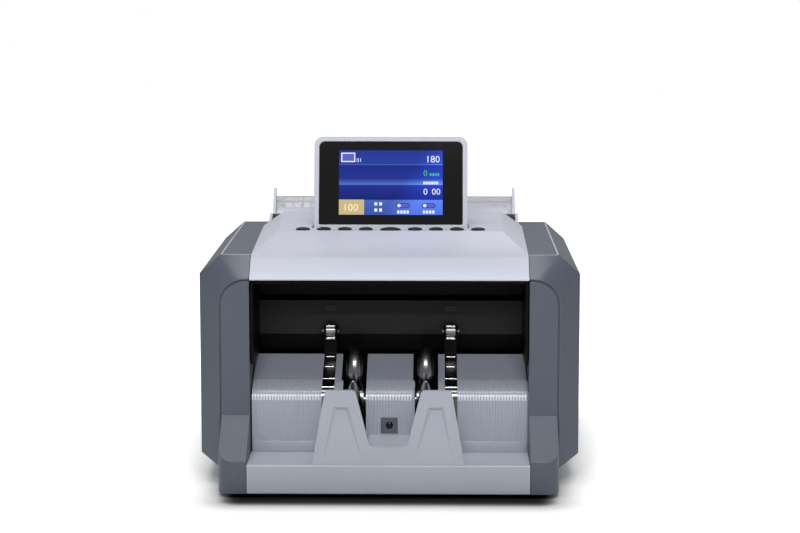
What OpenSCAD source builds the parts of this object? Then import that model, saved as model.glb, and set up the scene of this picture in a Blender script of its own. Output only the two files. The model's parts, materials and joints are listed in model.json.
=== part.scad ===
// Desktop banknote counter.
// Lengths are millimetres. +Z is up and the note throat faces -Y.
// Pieces are drawn with y measured back from the tray's front face, and seat() then
// moves them so that the origin lies on the table under the middle of the machine.

/* [Overall] */
// Depth from the tray's front face to the back of the side covers
body_d = 256; // [250:1:276]
// Width of the note throat and of the base tray
throat_w = 192.4; // [188:0.2:204]
// Width of each front pillar
pillar_w = 19.7; // [17.5:0.1:24]
// Sideways flare of each side cover past its pillar
cover_flare = 15.4; // [11:0.1:19]
// Height of the flat top panels of the side covers
deck_z = 160.3; // [157:0.1:165]
// Wall of the moulded shells
wall = 2.4; // [2:0.1:2.8]
// Visible seam between neighbouring shells
seam = 0.3; // [0.2:0.05:0.5]

/* [Base tray and feet] */
// Height of the rubber feet
rubber_h = 3.1; // [2:0.1:5]
// Radius of the rubber feet
rubber_r = 9; // [6:0.5:11]
// Height of the tray's front face
tray_h = 20.2; // [18:0.2:23]
// Depth of the tray's ledge, from its front edge to the stacker plate
ledge_d = 41.5; // [40:0.5:46]

/* [Stack stop] */
// Width of the stop at the ledge
stop_base_w = 103.8; // [96:0.2:112]
// Height of the stop above the ledge
stop_h = 51.2; // [44:0.2:58]
// Thickness of the stop's horns
stop_t = 4; // [3:0.1:5]
// Width of each horn at its top
horn_w = 20.3; // [18:0.1:23]
// Inward lean of each horn's outer edge
horn_lean = 9.2; // [6:0.1:12]
// Width of the finger gap at its floor
finger_w = 25.2; // [22:0.2:29]
// Height of the finger gap's floor above the ledge
finger_floor_h = 12.2; // [10:0.1:13]
// Corner radius of the horns
horn_round = 3; // [2:0.1:4]
// Corner radius of the finger gap's floor
finger_round = 5; // [3:0.1:6]
// Depth of the recess in each horn's front
recess_depth = 1.8; // [1:0.1:2.4]
// Width of the recess's sloping sides
recess_slope = 2; // [1:0.1:2.5]
// Border left round each recess
recess_border = 7.4; // [6.5:0.1:8]

/* [Stacker plate] */
// Sheet of the stacker plate
plate_t = 2; // [1.6:0.1:2.4]
// Height of the riser above the ledge
riser_h = 42; // [40:0.5:45]
// Depth of the tread behind the riser
tread_d = 48.5; // [47:0.5:52]
// Slope of the tread, in degrees
tread_angle = 21; // [19:0.5:22]
// Radius of the bend between riser and tread
bend_r = 8; // [5:0.5:10]
// Width of each wheel slot
slot_w = 17.6; // [16:0.1:19]
// Height of the slots' lower ends above the ledge
slot_lift = 3; // [2:0.1:3.3]
// Width and height of the stack sensor's face
sensor_w = 11.4; // [9:0.1:12]
// Height of the stack sensor's middle above the finger gap's floor
sensor_lift = 6.6; // [6.3:0.1:9]

/* [Stacker wheels] */
// Distance between the two wheels, centre to centre
wheel_spacing = 50.1; // [48:0.1:54]
// Distance from the riser back to the wheels' shaft
wheel_setback = 34.5; // [33:0.5:37]
// Drop from the plate's bend to the wheels' shaft
wheel_drop = 11.8; // [10:0.1:14]
// Outer radius of the wheels
wheel_r = 42; // [38:0.5:43]
// Width of each wheel
wheel_w = 12.6; // [10:0.1:13.5]
// Radius of each wheel's hub
hub_r = 13; // [11:0.5:16]
// Number of curved fins
fin_count = 6; // [5:1:10]
// Angle that each fin trails by at its tip, in degrees
fin_trail = 42; // [30:1:50]

/* [Exit guide and rollers] */
// Gap from the tread's back edge to the exit guide's face
exit_gap = 5; // [4:0.5:7]
// Height of the exit guide's lower edge above the tread
exit_lift = 13.5; // [12:0.1:16]
// Height of the exit guide's face
exit_h = 24.2; // [22:0.1:26]
// Depth of the exit guide behind its face
exit_d = 15; // [14:0.5:17]
// Radius of the small exit rollers
exit_roller_r = 4.3; // [3.6:0.1:4.5]
// Width of the exit rollers
exit_roller_w = 6.2; // [5:0.1:7]
// Distance between the two exit rollers, centre to centre
exit_roller_spacing = 85.6; // [82:0.2:90]
// Width of the polished guide strips
strip_w = 8.6; // [7:0.1:9.5]
// Thickness of the guide strips
strip_t = 0.8; // [0.5:0.1:1.2]
// Drop of the strips' foot below the plate's corner
strip_drop = 25; // [16:0.5:30]

/* [Front shells] */
// Setback of the pillars' front plane
pillar_y = 36; // [34:0.5:38]
// Depth of each pillar's outer return
pillar_return = 16; // [13:0.5:18]
// Depth of the flared rim behind the pillars' plane
rim_d = 15; // [12:0.5:18]
// Drop from the deck to the fascia's lower edge
fascia_h = 14.9; // [13.3:0.1:16.3]
// Radius of the arch at each pillar's top outer corner
arch_r = 17; // [12:0.5:19]
// Height of each foot's front edge
foot_front_z = 25.5; // [23.5:0.1:28]
// Height where each foot's slope meets its pillar
foot_back_z = 50; // [46:0.5:54]
// Radius of each foot's outer front corner
foot_round = 10; // [6:0.5:14]
// Width of the chamfers along the side covers
chamfer_w = 14.4; // [11:0.1:14.8]
// Height of the chamfers along the side covers
chamfer_h = 12.8; // [10:0.1:16]
// Setback of the rear panel from the back of the side covers
rear_setback = 9; // [7:0.5:11]

/* [Top cover] */
// Depth of the top cover
roof_d = 136; // [134:0.5:139]
// Depth of the front slope
roof_slope_d = 25; // [23:0.5:27]
// Rise of the front slope's upper edge above the deck
roof_rise = 13.7; // [12:0.1:16]
// Rise of the flat top from front to back
roof_fall = 4; // [2:0.1:5]
// Inset of the flat top's front corners
facet_front = 17.5; // [15:0.1:19]
// Inset of the flat top's back corners
facet_back = 16.2; // [14:0.1:18]

/* [Keys] */
// Distance from the front slope's upper edge back to the keys
key_setback = 6; // [5.6:0.1:6.4]
// Width of the eight outer keys
key_w = 9.9; // [8.5:0.1:11]
// Depth of the eight outer keys
key_d = 7; // [6:0.1:7.4]
// Width of the middle key
middle_key_w = 14.8; // [13:0.1:16]
// Distance between neighbouring outer keys
key_pitch = 14.8; // [14:0.1:15.4]
// Distance from the middle key to its neighbours
middle_key_pitch = 17.3; // [16.6:0.1:18]
// Height of a key above the cover
key_rise = 1.8; // [1.2:0.1:2.4]
// Travel of a key
key_travel = 1.2; // [0.8:0.1:1.3]

/* [Display] */
// Width of the display housing
display_w = 109; // [104:0.2:113]
// Length of the housing from its hinge to its top edge
display_h = 67.1; // [63:0.1:73]
// Thickness of the housing
display_t = 10; // [9:0.1:10.4]
// Distance from the back of the keys to the display's hinge
hinge_setback = 8.5; // [8:0.1:10]
// Depth of the hinge axis under the cover
hinge_drop = 2.75; // [2:0.05:3.5]
// Lean of the display at rest, in degrees
display_tilt = 15.6; // [12:0.1:18]
// Angle the display can lean back from there
display_lean = 35; // [20:1:35]
// Border of the housing round the glass
display_border = 3.6; // [3:0.1:4.5]
// Thickness of the front glass
glass_t = 1.2; // [0.8:0.1:1.6]
// Width of the display panel
panel_w = 80; // [76:0.5:84]
// Height of the display panel
panel_h = 52; // [50:0.5:54]
// Height of the panel's lower edge above the hinge axis
panel_lift = 6.8; // [6.4:0.1:8]

/* [Hopper] */
// Gap from the top cover to the hopper's foot
hopper_gap = 4; // [3:0.1:6]
// Drop from the deck to the hopper's foot
hopper_drop = 32.3; // [30:0.1:34]
// Slope of the hopper floor, in degrees
hopper_angle = 42; // [40:0.5:43]
// Length of the hopper floor along its slope
hopper_len = 61; // [58:0.5:63]
// Length of the clear back plate along the slope
back_plate_len = 19; // [17:0.5:21]
// Thickness of the side guides
guide_t = 2.2; // [1.8:0.1:2.8]
// Fall of a guide's top edge from its shelf to its front
guide_fall = 8; // [6:0.5:10]
// Distance of a guide's fin in from its plate
fin_in = 1.9; // [1:0.1:2]
// Distance from the hopper's foot back to the pick-up shaft
pickup_setback = 22; // [20:0.5:25]
// Rise of the pick-up rollers through the hopper floor
pickup_rise = 3.2; // [2:0.1:4]

/* [Rear panel] */
// Distance from the middle to the power inlet
inlet_x = 66; // [62:0.5:70]
// Distance from the middle to the power switch
rocker_x = 30; // [26:0.5:34]
// Height of the inlet and the switch
socket_z = 34; // [32:0.5:38]
// Width of the inlet
inlet_w = 27; // [26:0.5:28]
// Height of the inlet
inlet_h = 20; // [19:0.5:21]
// Width of the switch's rocker
rocker_w = 19; // [17:0.5:21]
// Height of the switch's rocker
rocker_h = 13; // [12:0.5:15]
// Number of vents
vent_count = 9; // [5:1:9]
// Width of a vent
vent_w = 3.4; // [2:0.1:4]
// Height of the vents
vent_h = 46; // [30:1:60]

/* [Drive] */
// Radius of the shafts
shaft_r = 4; // [3.5:0.1:4.5]
// Distance from the exit guide's face back to the feed shaft
feed_setback = 55; // [52:1:58]
// Height of the feed shaft above the exit guide's lower edge
feed_rise = 6.5; // [5:0.5:9]
// Distance from the rear panel to the motor's axis
motor_setback = 42; // [40:1:46]
// Drop from the feed shaft to the motor's axis
motor_drop = 52; // [48:1:56]
// Distance from the middle to each rubber roller
rubber_x = 30; // [26:1:36]
// Radius of the feed rollers
feed_r = 18; // [16:0.1:18.5]
// Radius of the pick-up rollers
pickup_r = 12; // [11:0.1:12.5]
// Radius of the feed and pick-up pulleys
feed_pulley_r = 14; // [12:0.1:15]
// Radius of the stacker pulley
stacker_pulley_r = 20; // [17:0.1:21]
// Radius of the motor pulley
motor_pulley_r = 9; // [8:0.1:11]
// Thickness of the belts
belt_t = 1.2; // [0.9:0.1:1.6]
// Width of a belt
belt_w = 3; // [2.4:0.1:3.2]
// Sheet of the steel side plates
side_plate_t = 2; // [1.6:0.1:2.4]
// Radius of the motor's can
motor_r = 24; // [20:0.5:25]
// Length of the motor's can
motor_len = 66; // [56:1:72]
// Radius of the tie rods
rod_r = 4; // [3:0.5:5]
// Thickness of the circuit boards
board_t = 1.6; // [1.2:0.1:2]

/* [Hidden] */
$fn = 48;

// Colours
light_grey = [0.78, 0.80, 0.85];
mid_grey = [0.62, 0.64, 0.67];
dark_grey = [0.38, 0.41, 0.46];
black = [0.07, 0.07, 0.075];
steel = [0.75, 0.76, 0.78];
rubber_grey = [0.22, 0.22, 0.23];
board_green = [0.10, 0.32, 0.20];

// Clearances
running = 0.05;
loose = 0.25;
belt_gap = 0.3;
over = 1;

// Widths
half_w = throat_w / 2;
pillar_x0 = half_w + seam;
pillar_x1 = pillar_x0 + pillar_w;
cover_x1 = pillar_x1 + seam + cover_flare;
cheek_x = half_w - seam;
plate_x = half_w - 2 * seam;
side_plate_gap = 1.1;
side_plate_x = pillar_x0 + wall + side_plate_gap;
side_plate_out = side_plate_x + side_plate_t;

// Heights of the base and the fascia
fascia_z = deck_z - fascia_h;
tray_top = rubber_h + tray_h;
floor_top = rubber_h + wall;
cover_lift = 1.4;
cover_bottom = rubber_h + cover_lift;

// Stacker plate and wheels
riser_y = ledge_d;
corner_z = tray_top + riser_h;
tread_y = riser_y + tread_d;
tread_z = corner_z + tread_d * tan(tread_angle);
slot_z = tray_top + slot_lift;
wheel_x = wheel_spacing / 2;
wheel_y = riser_y + wheel_setback;
wheel_z = corner_z - wheel_drop;
sensor_z = tray_top + finger_floor_h + sensor_lift;
sensor_flange = 2.5;

// Exit guide
exit_y = tread_y + exit_gap;
exit_z0 = tread_z + exit_lift;
exit_z1 = exit_z0 + exit_h;
exit_back = exit_y + exit_d;
roller_gap = 0.7;
roller_lift = 3;
roller_x = exit_roller_spacing / 2;
roller_y = exit_y - exit_roller_r - roller_gap;
roller_z = exit_z0 + roller_lift;
roller_pin_r = 1.2;
ear_t = 1.6;
ear_gap = 0.4;
guide_wall = 2;
guide_top = fascia_z - guide_wall;

// Shells
arch_drop = 1.4;
arch_top = fascia_z - arch_drop;
pillar_lap = 1.5;
pillar_back = exit_y + pillar_lap;
outer_return_y = pillar_y + pillar_return;
rim_y = pillar_y + rim_d;
rim_lip = 1.6;
cover_back_inset = 7;
rear_y = body_d - rear_setback;
rear_top = fascia_z + wall + over;

// Top cover
slope_y = rim_y + roof_slope_d;
slope_z = deck_z + roof_rise;
roof_back = pillar_y + roof_d;
facet_a = [half_w, rim_y, deck_z - 0.3];
facet_b = [half_w - facet_front, slope_y, slope_z];
facet_c = [half_w - facet_back, roof_back, slope_z + roof_fall];
facet_n = cross(facet_c - facet_a, facet_b - facet_a);
facet_u = facet_n / norm(facet_n);
facet_lean = asin(facet_u[0]);
facet_climb = asin(-facet_u[1] / cos(facet_lean));
lip_in = 10.5;
lip_w = 2 * (half_w - lip_in);
fascia_edge = 0.8;
rim_drop = 1.3;
roof_lip = 2;

// Keys
key_y = slope_y + key_setback;
key_top_z = roof_z(key_y) + key_rise;
key_flange = 0.9;
key_flange_t = 1.2;
key_flange_z = roof_z(key_y - key_d / 2) - roof_skin() - loose;
key_xs = [for (i = [-4:4]) sign(i) * (middle_key_pitch + (abs(i) - 1) * key_pitch)];
key_stem_h = 1.6;
key_stem_r = 1.6;
key_stem_z = key_flange_z - key_flange_t - key_stem_h;
switch_w = 6;
switch_h = 3.5;
switch_z = key_stem_z - key_travel - loose;
key_board_z = switch_z - switch_h - board_t;
post_r = 2;

// Display
hinge_y = key_y + key_d / 2 + hinge_setback;
hinge_z = roof_z(hinge_y) - hinge_drop;
barrel_r = display_t / 2;
barrel_gap = 0.6;
hinge_pin_r = 2;
trough_gap = 1.2;
trough_x = display_w / 2 + trough_gap;
trough_front = barrel_r + trough_gap;
trough_rear = barrel_r * 2.6;
glass_gap = 0.15;
glass_z0 = display_border + glass_gap;
glass_z1 = display_h - display_border;
glass_x = display_w / 2 - display_border;
panel_t = 3;
display_wall = 2;
display_round = 6;
pin_reach = 4;

// Hopper
hopper_y = roof_back + hopper_gap;
hopper_z = deck_z - hopper_drop;
hopper_dir = [cos(hopper_angle), sin(hopper_angle)];
hopper_up = [-sin(hopper_angle), cos(hopper_angle)];
hopper_foot = [hopper_y, hopper_z];
hopper_top = hopper_foot + hopper_len * hopper_dir;
plate_foot = hopper_top + seam * hopper_dir;
plate_top = plate_foot + back_plate_len * hopper_dir;
hopper_wall_x = half_w - wall / 2;
guide_x = hopper_wall_x - seam;
clear_t = 2;
fin_rise = 9;
pickup_w = 14;
feed_w = 16;

// Drive
feed_y = exit_y + feed_setback;
feed_z = exit_z0 + feed_rise;
pickup_y = hopper_y + pickup_setback;
pickup_z = hopper_z + pickup_setback * tan(hopper_angle) - (pickup_r - pickup_rise) / cos(hopper_angle);
motor_y = rear_y - motor_setback;
motor_z = feed_z - motor_drop;
rotor_r = shaft_r - 1;
bush_wall = 4;
bush_rim = 1.5;
bush_lip = 0.6;
bush_r = shaft_r + bush_wall;
bush_x0 = side_plate_x - bush_lip;
bush_x1 = side_plate_out + 2 * bush_lip;
lane = belt_w + 2 * belt_gap;
lane_x = bush_x1 + 4 * belt_gap;
disc_x = bush_x1 + 3.8;
disc_r = 16;
disc_t = 1;
shaft_spots = [[wheel_y, wheel_z], [feed_y, feed_z], [pickup_y, pickup_z]];
grip = 0.02;
spacer_r = 2.4;
spacer_in = 5;

// Plain helpers
function unit(v) = v / norm(v);
function turned(a) = [cos(a), sin(a)];
function flip(p) = [-p[0], p[1]];
function roof_z(y) = slope_z + (y - slope_y) * roof_fall / (roof_back - slope_y);
function roof_skin() = wall * 1.01;

// Points of one rounded corner p between neighbours a and b
function corner(a, p, b, r, n) = r <= 0 ? [p] : let(
    u = unit(a - p),
    v = unit(b - p),
    half = acos(u * v) / 2,
    c = p + unit(u + v) * r / sin(half),
    s = p + u * r / tan(half) - c,
    e = p + v * r / tan(half) - c,
    a0 = atan2(s[1], s[0]),
    turn = (atan2(e[1], e[0]) - a0 + 540) % 360 - 180)
    [for (i = [0:n]) c + r * turned(a0 + turn * i / n)];

// Outline with each corner rounded by its own radius
function rounded(p, r, n = 6) = let(k = len(p))
    [for (i = [0:k - 1]) each corner(p[(i + k - 1) % k], p[i], p[(i + 1) % k], r[i], n)];

// Anticlockwise outline moved inwards by t
function inset(p, t) = let(k = len(p)) [for (i = [0:k - 1]) let(
    u = unit(p[i] - p[(i + k - 1) % k]),
    v = unit(p[(i + 1) % k] - p[i]),
    m = [-u[1], u[0]],
    n = [-v[1], v[0]])
    p[i] + (m + n) * t / (1 + m * n)];

// Closed loop round two pulleys
function belt_loop(a, ra, b, rb, n = 16) = let(
    d = b - a,
    phi = atan2(d[1], d[0]),
    open = acos((ra - rb) / norm(d)))
    concat([for (i = [0:n]) a + ra * turned(phi + open + (360 - 2 * open) * i / n)],
        [for (i = [0:n]) b + rb * turned(phi - open + 2 * open * i / n)]);

// Curved fin from the hub to the rim, its leading edge then its trailing edge
function fin_edge(t, side) = let(
    root = hub_r * 0.77,
    half = 88 / fin_count,
    r = root + (wheel_r - root) * t,
    a = side * half * (1 - pow(t, 2.2)) - fin_trail * pow(t, 1.4))
    r * turned(a);
function fin_points(n = 8) = concat([for (i = [0:n]) fin_edge(i / n, -1)],
    [for (i = [n - 1:-1:0]) fin_edge(i / n, 1)]);

module seat() { translate([0, -body_d / 2, 0]) children(); }

module left_of() { mirror([1, 0, 0]) children(); }

module both() {
    children();
    left_of() children();
}

// Outline in y and z, drawn out along x
module along_x(x0, x1) {
    translate([x0, 0, 0]) rotate([90, 0, 90]) linear_extrude(x1 - x0) children();
}

// Outline in x and z, drawn out along y
module along_y(y0, y1) {
    translate([0, y1, 0]) rotate([90, 0, 0]) linear_extrude(y1 - y0) children();
}

module rod_x(x0, x1, r) {
    translate([x0, 0, 0]) rotate([0, 90, 0]) cylinder(h = x1 - x0, r = r);
}

// The same rod on both sides of the middle
module rod_both(x, r) { rod_x(-x, x, r); }

module at_yz(y, z) { translate([0, y, z]) children(); }

module box(a, b) { translate(a) cube(b - a); }

// Flat-ended oval standing on z = 0
module oval(w, d, h) {
    for (s = [-1, 1])
        translate([s * (w - d) / 2, 0, 0]) cylinder(h = h, r = d / 2);
    translate([-(w - d) / 2, -d / 2, 0]) cube([w - d, d, h]);
}

// Base tray: front face, ledge and floor pan in one bent profile, with end walls
tray_edge = 0.6;

module tray_end() {
    top = tray_top - tray_edge;
    along_x(half_w - wall, half_w)
        polygon([[tray_edge, rubber_h], [riser_y, rubber_h], [riser_y, top], [tray_edge, top]]);
}

module base_tray() {
    back = rear_y + wall;
    ledge_back = riser_y + plate_t;
    profile = [[0, rubber_h], [back, rubber_h], [back, floor_top], [wall, floor_top],
        [wall, tray_top - wall], [ledge_back, tray_top - wall], [ledge_back, tray_top], [0, tray_top]];
    color(mid_grey) seat() {
        along_x(-half_w, half_w) polygon(rounded(profile, [0.8, 0, 0, 0, 0, 0, 0, 1.2], 4));
        both() tray_end();
    }
}

module rubber_feet() {
    color(black) seat()
        for (s = [-1, 1], y = [rubber_r * 1.9, rear_y - rubber_r * 2.1])
            translate([s * (half_w - rubber_r * 1.7), y, 0])
                cylinder(h = rubber_h, r1 = rubber_r * 0.91, r2 = rubber_r);
}

// Stack stop: two leaning horns over a finger gap, and the block behind the gap
stop_y = tray_edge;
stop_half = stop_base_w / 2;
stop_top = tray_top + stop_h;
finger_z = tray_top + finger_floor_h;
horn_out = stop_half - horn_lean;
horn_in = horn_out - horn_w;
function horn_out_x(z) = stop_half - horn_lean * (z - tray_top) / stop_h;
function horn_in_x(z) = finger_w / 2
    + (horn_in - finger_w / 2) * (z - finger_z) / (stop_top - finger_z);

module stop_recess() {
    z0 = tray_top + stop_h * 0.08;
    z1 = stop_top - stop_h * 0.22;
    z2 = z1 - recess_slope;
    x0 = horn_in_x(z1) + recess_border;
    x1 = horn_out_x(z1) - recess_border;
    outline = [[horn_in_x(z0) + recess_border, z0], [horn_out_x(z0) - recess_border, z0],
        [x1, z1], [x0, z1]];
    hull() {
        along_y(stop_y - over, stop_y) polygon(outline);
        box([x0 + recess_slope, stop_y, z2 - over], [x1 - recess_slope, stop_y + recess_depth, z2]);
    }
}

module stack_stop() {
    base = [stop_half, tray_top];
    right = [base, [horn_out, stop_top], [horn_in, stop_top], [finger_w / 2, finger_z]];
    outline = concat(right, [for (i = [3:-1:0]) flip(right[i])]);
    h = horn_round;
    f = finger_round;
    block_x = finger_w / 2 + stop_t / 2;
    color(mid_grey) seat() {
        difference() {
            along_y(stop_y, stop_y + stop_t) polygon(rounded(outline, [0, h, h, f, f, h, h, 0]));
            both() stop_recess();
        }
        box([-block_x, stop_y + stop_t / 2, tray_top], [block_x, riser_y, finger_z]);
    }
}

// Stacker plate: riser, bend and sloping tread, cut by the wheel slots and the sensor window
function plate_line(t) = let(y = riser_y + t, drop = t / cos(tread_angle))
    [[y, tray_top], [y, corner_z + t * tan(tread_angle) - drop], [tread_y, tread_z - drop]];

module stacker_plate() {
    front = plate_line(0);
    rear = plate_line(plate_t);
    outline = [front[0], front[1], front[2], rear[2], rear[1], rear[0]];
    slot = slot_w / 2;
    window = sensor_w / 2 + loose;
    color(light_grey) seat() difference() {
        along_x(-plate_x, plate_x) polygon(rounded(outline, [0, bend_r, 0, 0, bend_r - plate_t, 0], 8));
        for (x = [-wheel_x, wheel_x])
            box([x - slot, riser_y - over, slot_z], [x + slot, tread_y + over, tread_z + over]);
        box([-window, riser_y - over, sensor_z - window],
            [window, riser_y + plate_t + over, sensor_z + window]);
    }
}

// Stack sensor: square face in the window, round eye, and a flange behind the plate
module stack_sensor() {
    w = sensor_w / 2;
    f = w + sensor_flange;
    y0 = riser_y - 0.2;
    y1 = riser_y + plate_t;
    color(dark_grey) seat() difference() {
        union() {
            box([-w, y0, sensor_z - w], [w, y1 + over, sensor_z + w]);
            box([-f, y1, sensor_z - f], [f, y1 + 2 * sensor_flange, sensor_z + f]);
        }
        at_yz(y0 + 1.2, sensor_z) rotate([90, 0, 0]) cylinder(h = 3, r = sensor_w * 0.22);
    }
}

// Polished strips on the plate from the riser over the bend and the tread, then up to the rollers
module guide_strips() {
    lift = running;
    low = plate_line(-lift);
    high = plate_line(-lift - strip_t);
    foot_z = corner_z - strip_drop;
    bend = bend_r + lift;
    leaf_z = roller_z - exit_roller_r - 2 * loose;
    leaf_y = tread_y - strip_t;
    outline = [[low[0][0], foot_z], low[1], low[2], [tread_y, leaf_z], [leaf_y, leaf_z],
        [leaf_y, high[2][1] - strip_t * tan(tread_angle)], high[1], [high[0][0], foot_z]];
    color(steel) seat()
        for (x = [-roller_x, roller_x])
            along_x(x - strip_w / 2, x + strip_w / 2)
                polygon(rounded(outline, [0, bend, 2 * strip_t, 0, 0, strip_t, bend + strip_t, 0], 8));
}

// Front pillar with its foot, a shell open at the back and below
function pillar_side(t) = let(low = rubber_h - over * sign(t), back = pillar_back + over * sign(t))
    [[t, low], [back, low], [back, arch_top - t], [pillar_y + t, arch_top - t],
        [pillar_y + t, foot_back_z - 0.6 * t], [t, foot_front_z - 0.8 * t]];

module pillar_form(t) {
    x0 = pillar_x0 + t;
    x1 = pillar_x1 - t;
    z0 = -over;
    z1 = arch_top - t;
    back = pillar_back + 2 * over;
    intersection() {
        along_x(x0, x1) polygon(pillar_side(t));
        along_y(-over, back)
            polygon(rounded([[x0, z0], [x1, z0], [x1, z1], [x0, z1]], [0, 0, arch_r - t, 0], 8));
        translate([0, 0, z0]) linear_extrude(arch_top + 2 * over)
            polygon(rounded([[x0, t], [x1, t], [x1, back], [x0, back]], [0, foot_round - t, 0, 0], 8));
    }
}

module right_pillar_form() {
    difference() {
        pillar_form(0);
        pillar_form(wall);
        box([pillar_x0 + wall, outer_return_y, 0], [pillar_x1 + over, pillar_back + over, arch_top + over]);
        at_yz(wheel_y, wheel_z) rod_x(pillar_x0 - over, pillar_x0 + wall + over, bush_r + 1);
    }
}

module right_pillar() { color(dark_grey) seat() right_pillar_form(); }

module left_pillar() { color(dark_grey) seat() left_of() right_pillar_form(); }

// Side cover: chamfered shell with a rim that flares out from the pillar's arch
function rim_outline(x0, t) = let(lip = seam + rim_lip - t, z0 = cover_bottom + t)
    rounded([[x0, z0], [pillar_x1 + lip, z0], [pillar_x1 + lip, arch_top + lip], [x0, arch_top + lip]],
        [0, 0, arch_r + lip, 0], 8);

function cover_outline(x0, t) = let(side = cover_x1 - t, bend = cover_x1 - chamfer_w, slack = t * 0.4)
    [[x0, cover_bottom + t], [bend, cover_bottom + t], [side, cover_bottom + chamfer_h + slack],
        [side, deck_z - chamfer_h - slack], [bend - slack, deck_z - t], [x0, deck_z - t]];

module cover_form(x0, front, lip, t) {
    thin = 0.02;
    hull() {
        along_y(front, pillar_y + thin) polygon(rim_outline(x0, lip));
        along_y(rim_y + t * 0.4, body_d - cover_back_inset - t * 0.4) polygon(cover_outline(x0, t));
        along_y(body_d - t - thin, body_d - t) polygon(cover_outline(x0, t + cover_back_inset));
    }
}

module right_side_cover_form() {
    inner_x = pillar_x0 - over;
    difference() {
        cover_form(pillar_x0, pillar_y, 0, 0);
        cover_form(inner_x, pillar_y - over, rim_lip, wall);
        box([inner_x, 0, 0], [side_plate_out + wall, body_d - wall, floor_top + 2 * wall]);
        box([inner_x, 0, 0], [pillar_x1 + seam, outer_return_y + seam, arch_top - arch_r]);
    }
}

module right_side_cover() { color(dark_grey) seat() right_side_cover_form(); }

module left_side_cover() { color(dark_grey) seat() left_of() right_side_cover_form(); }

// Top cover: hipped shell with key holes, a trough for the display and the hopper's front wall
function roof_side(low) = [[pillar_y, low], [roof_back, low], [roof_back, slope_z + roof_fall],
    [slope_y, slope_z], [rim_y, deck_z - rim_drop], [pillar_y, fascia_z]];

module hip_cut(t) {
    both() translate(facet_a - facet_u * t) rotate([facet_climb, 0, 0]) rotate([0, facet_lean, 0])
        translate([-body_d, -body_d, 0]) cube([2 * body_d, 2 * body_d, body_d]);
}

module roof_form(t, low) {
    difference() {
        along_x(-half_w + t, half_w - t) polygon(inset(roof_side(low), t));
        hip_cut(t);
    }
}

module display_trough(grow, length) {
    y0 = -trough_front - grow;
    y1 = trough_rear + grow;
    at_yz(hinge_y, hinge_z) {
        rod_both(length, barrel_r + barrel_gap + grow);
        box([-length, y0, 0], [length, y1, display_t]);
        rotate([-display_tilt - display_lean, 0, 0])
            box([-length, 0, 0], [length, barrel_r + barrel_gap + grow, display_t]);
    }
}

module trough_shell() {
    sunk = wall / 4;
    intersection() {
        display_trough(wall, trough_x + wall);
        along_x(-half_w, half_w)
            polygon([[pillar_y, fascia_z], [roof_back, fascia_z], [roof_back, roof_z(roof_back) - sunk],
                [slope_y, slope_z - sunk]]);
    }
}

module board_posts() {
    z0 = key_board_z + board_t;
    for (x = [key_xs[5] / 2 + 1.4, key_xs[7] + key_pitch / 2], s = [-1, 1])
        translate([s * x, key_y - 4 * post_r, z0]) cylinder(h = slope_z - 1.5 * wall - z0, r = post_r);
}

module back_lip() {
    y0 = roof_back - wall;
    y1 = roof_back + roof_lip;
    z0 = roof_z(roof_back) - wall;
    z1 = roof_z(roof_back) + roof_lip;
    r = 0.75 * roof_lip;
    along_x(-lip_w / 2, lip_w / 2)
        polygon(rounded([[y0, z0], [y1, z0], [y1, z1], [y0, z1]], [0, 0, r, r], 4));
}

module key_hole(i) {
    w = (i == 4 ? middle_key_w : key_w) + 2 * loose;
    d = (i == 4 ? key_d + 1 : key_d) + 2 * loose;
    depth = 2.5 * wall;
    translate([key_xs[i], key_y, slope_z - depth]) oval(w, d, 2 * depth);
}

module top_cover() {
    wall_foot = hopper_z + wall;
    color(light_grey) seat() difference() {
        union() {
            difference() {
                roof_form(0, fascia_z - fascia_edge);
                roof_form(wall, fascia_z - fascia_edge - 2 * wall);
            }
            difference() {
                box([-half_w + wall, roof_back - wall, wall_foot],
                    [half_w - wall, roof_back, slope_z - wall]);
                hip_cut(wall / 2);
            }
            back_lip();
            trough_shell();
            board_posts();
        }
        display_trough(0, trough_x);
        for (i = [0:8])
            key_hole(i);
        at_yz(hinge_y, hinge_z) rod_both(trough_x + wall, hinge_pin_r);
    }
}

// Exit guide: creased face, deep recesses above and below it, cheeks, ceiling and roller ears
module roller_ear() {
    tip = 2.2 * roller_pin_r;
    root = 2.8 * roller_pin_r;
    y0 = roller_y - tip;
    y1 = exit_y + over;
    outline = [[y0, roller_z - tip], [y1, roller_z - root], [y1, roller_z + root], [y0, roller_z + tip]];
    difference() {
        along_x(-ear_t / 2, ear_t / 2) polygon(rounded(outline, [2, 0, 0, 2]));
        at_yz(roller_y, roller_z) rod_both(ear_t, roller_pin_r);
    }
}

module guide_face() {
    crease = exit_z0 + 0.54 * exit_h;
    back = exit_back;
    web = back - guide_wall;
    outline = [[web, tread_z], [back, tread_z], [back, guide_top], [web, guide_top],
        [web, exit_z1 + guide_wall], [exit_y + 1.5, exit_z1], [exit_y - 0.4, crease],
        [exit_y + 0.4, exit_z0], [web, exit_z0 - guide_wall]];
    hollow = [[exit_y + 3, exit_z0 + guide_wall], [back + over, exit_z0 + guide_wall],
        [back + over, exit_z1 - guide_wall], [exit_y + 4, exit_z1 - guide_wall]];
    difference() {
        along_x(-cheek_x, cheek_x) polygon(outline);
        along_x(-cheek_x + 3 * guide_wall, cheek_x - 3 * guide_wall) polygon(hollow);
        for (x = [-roller_x, roller_x])
            box([x - 4, exit_y - guide_wall, crease + 3], [x + 4, exit_y + 2.5 * guide_wall, crease + 8]);
    }
}

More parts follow.
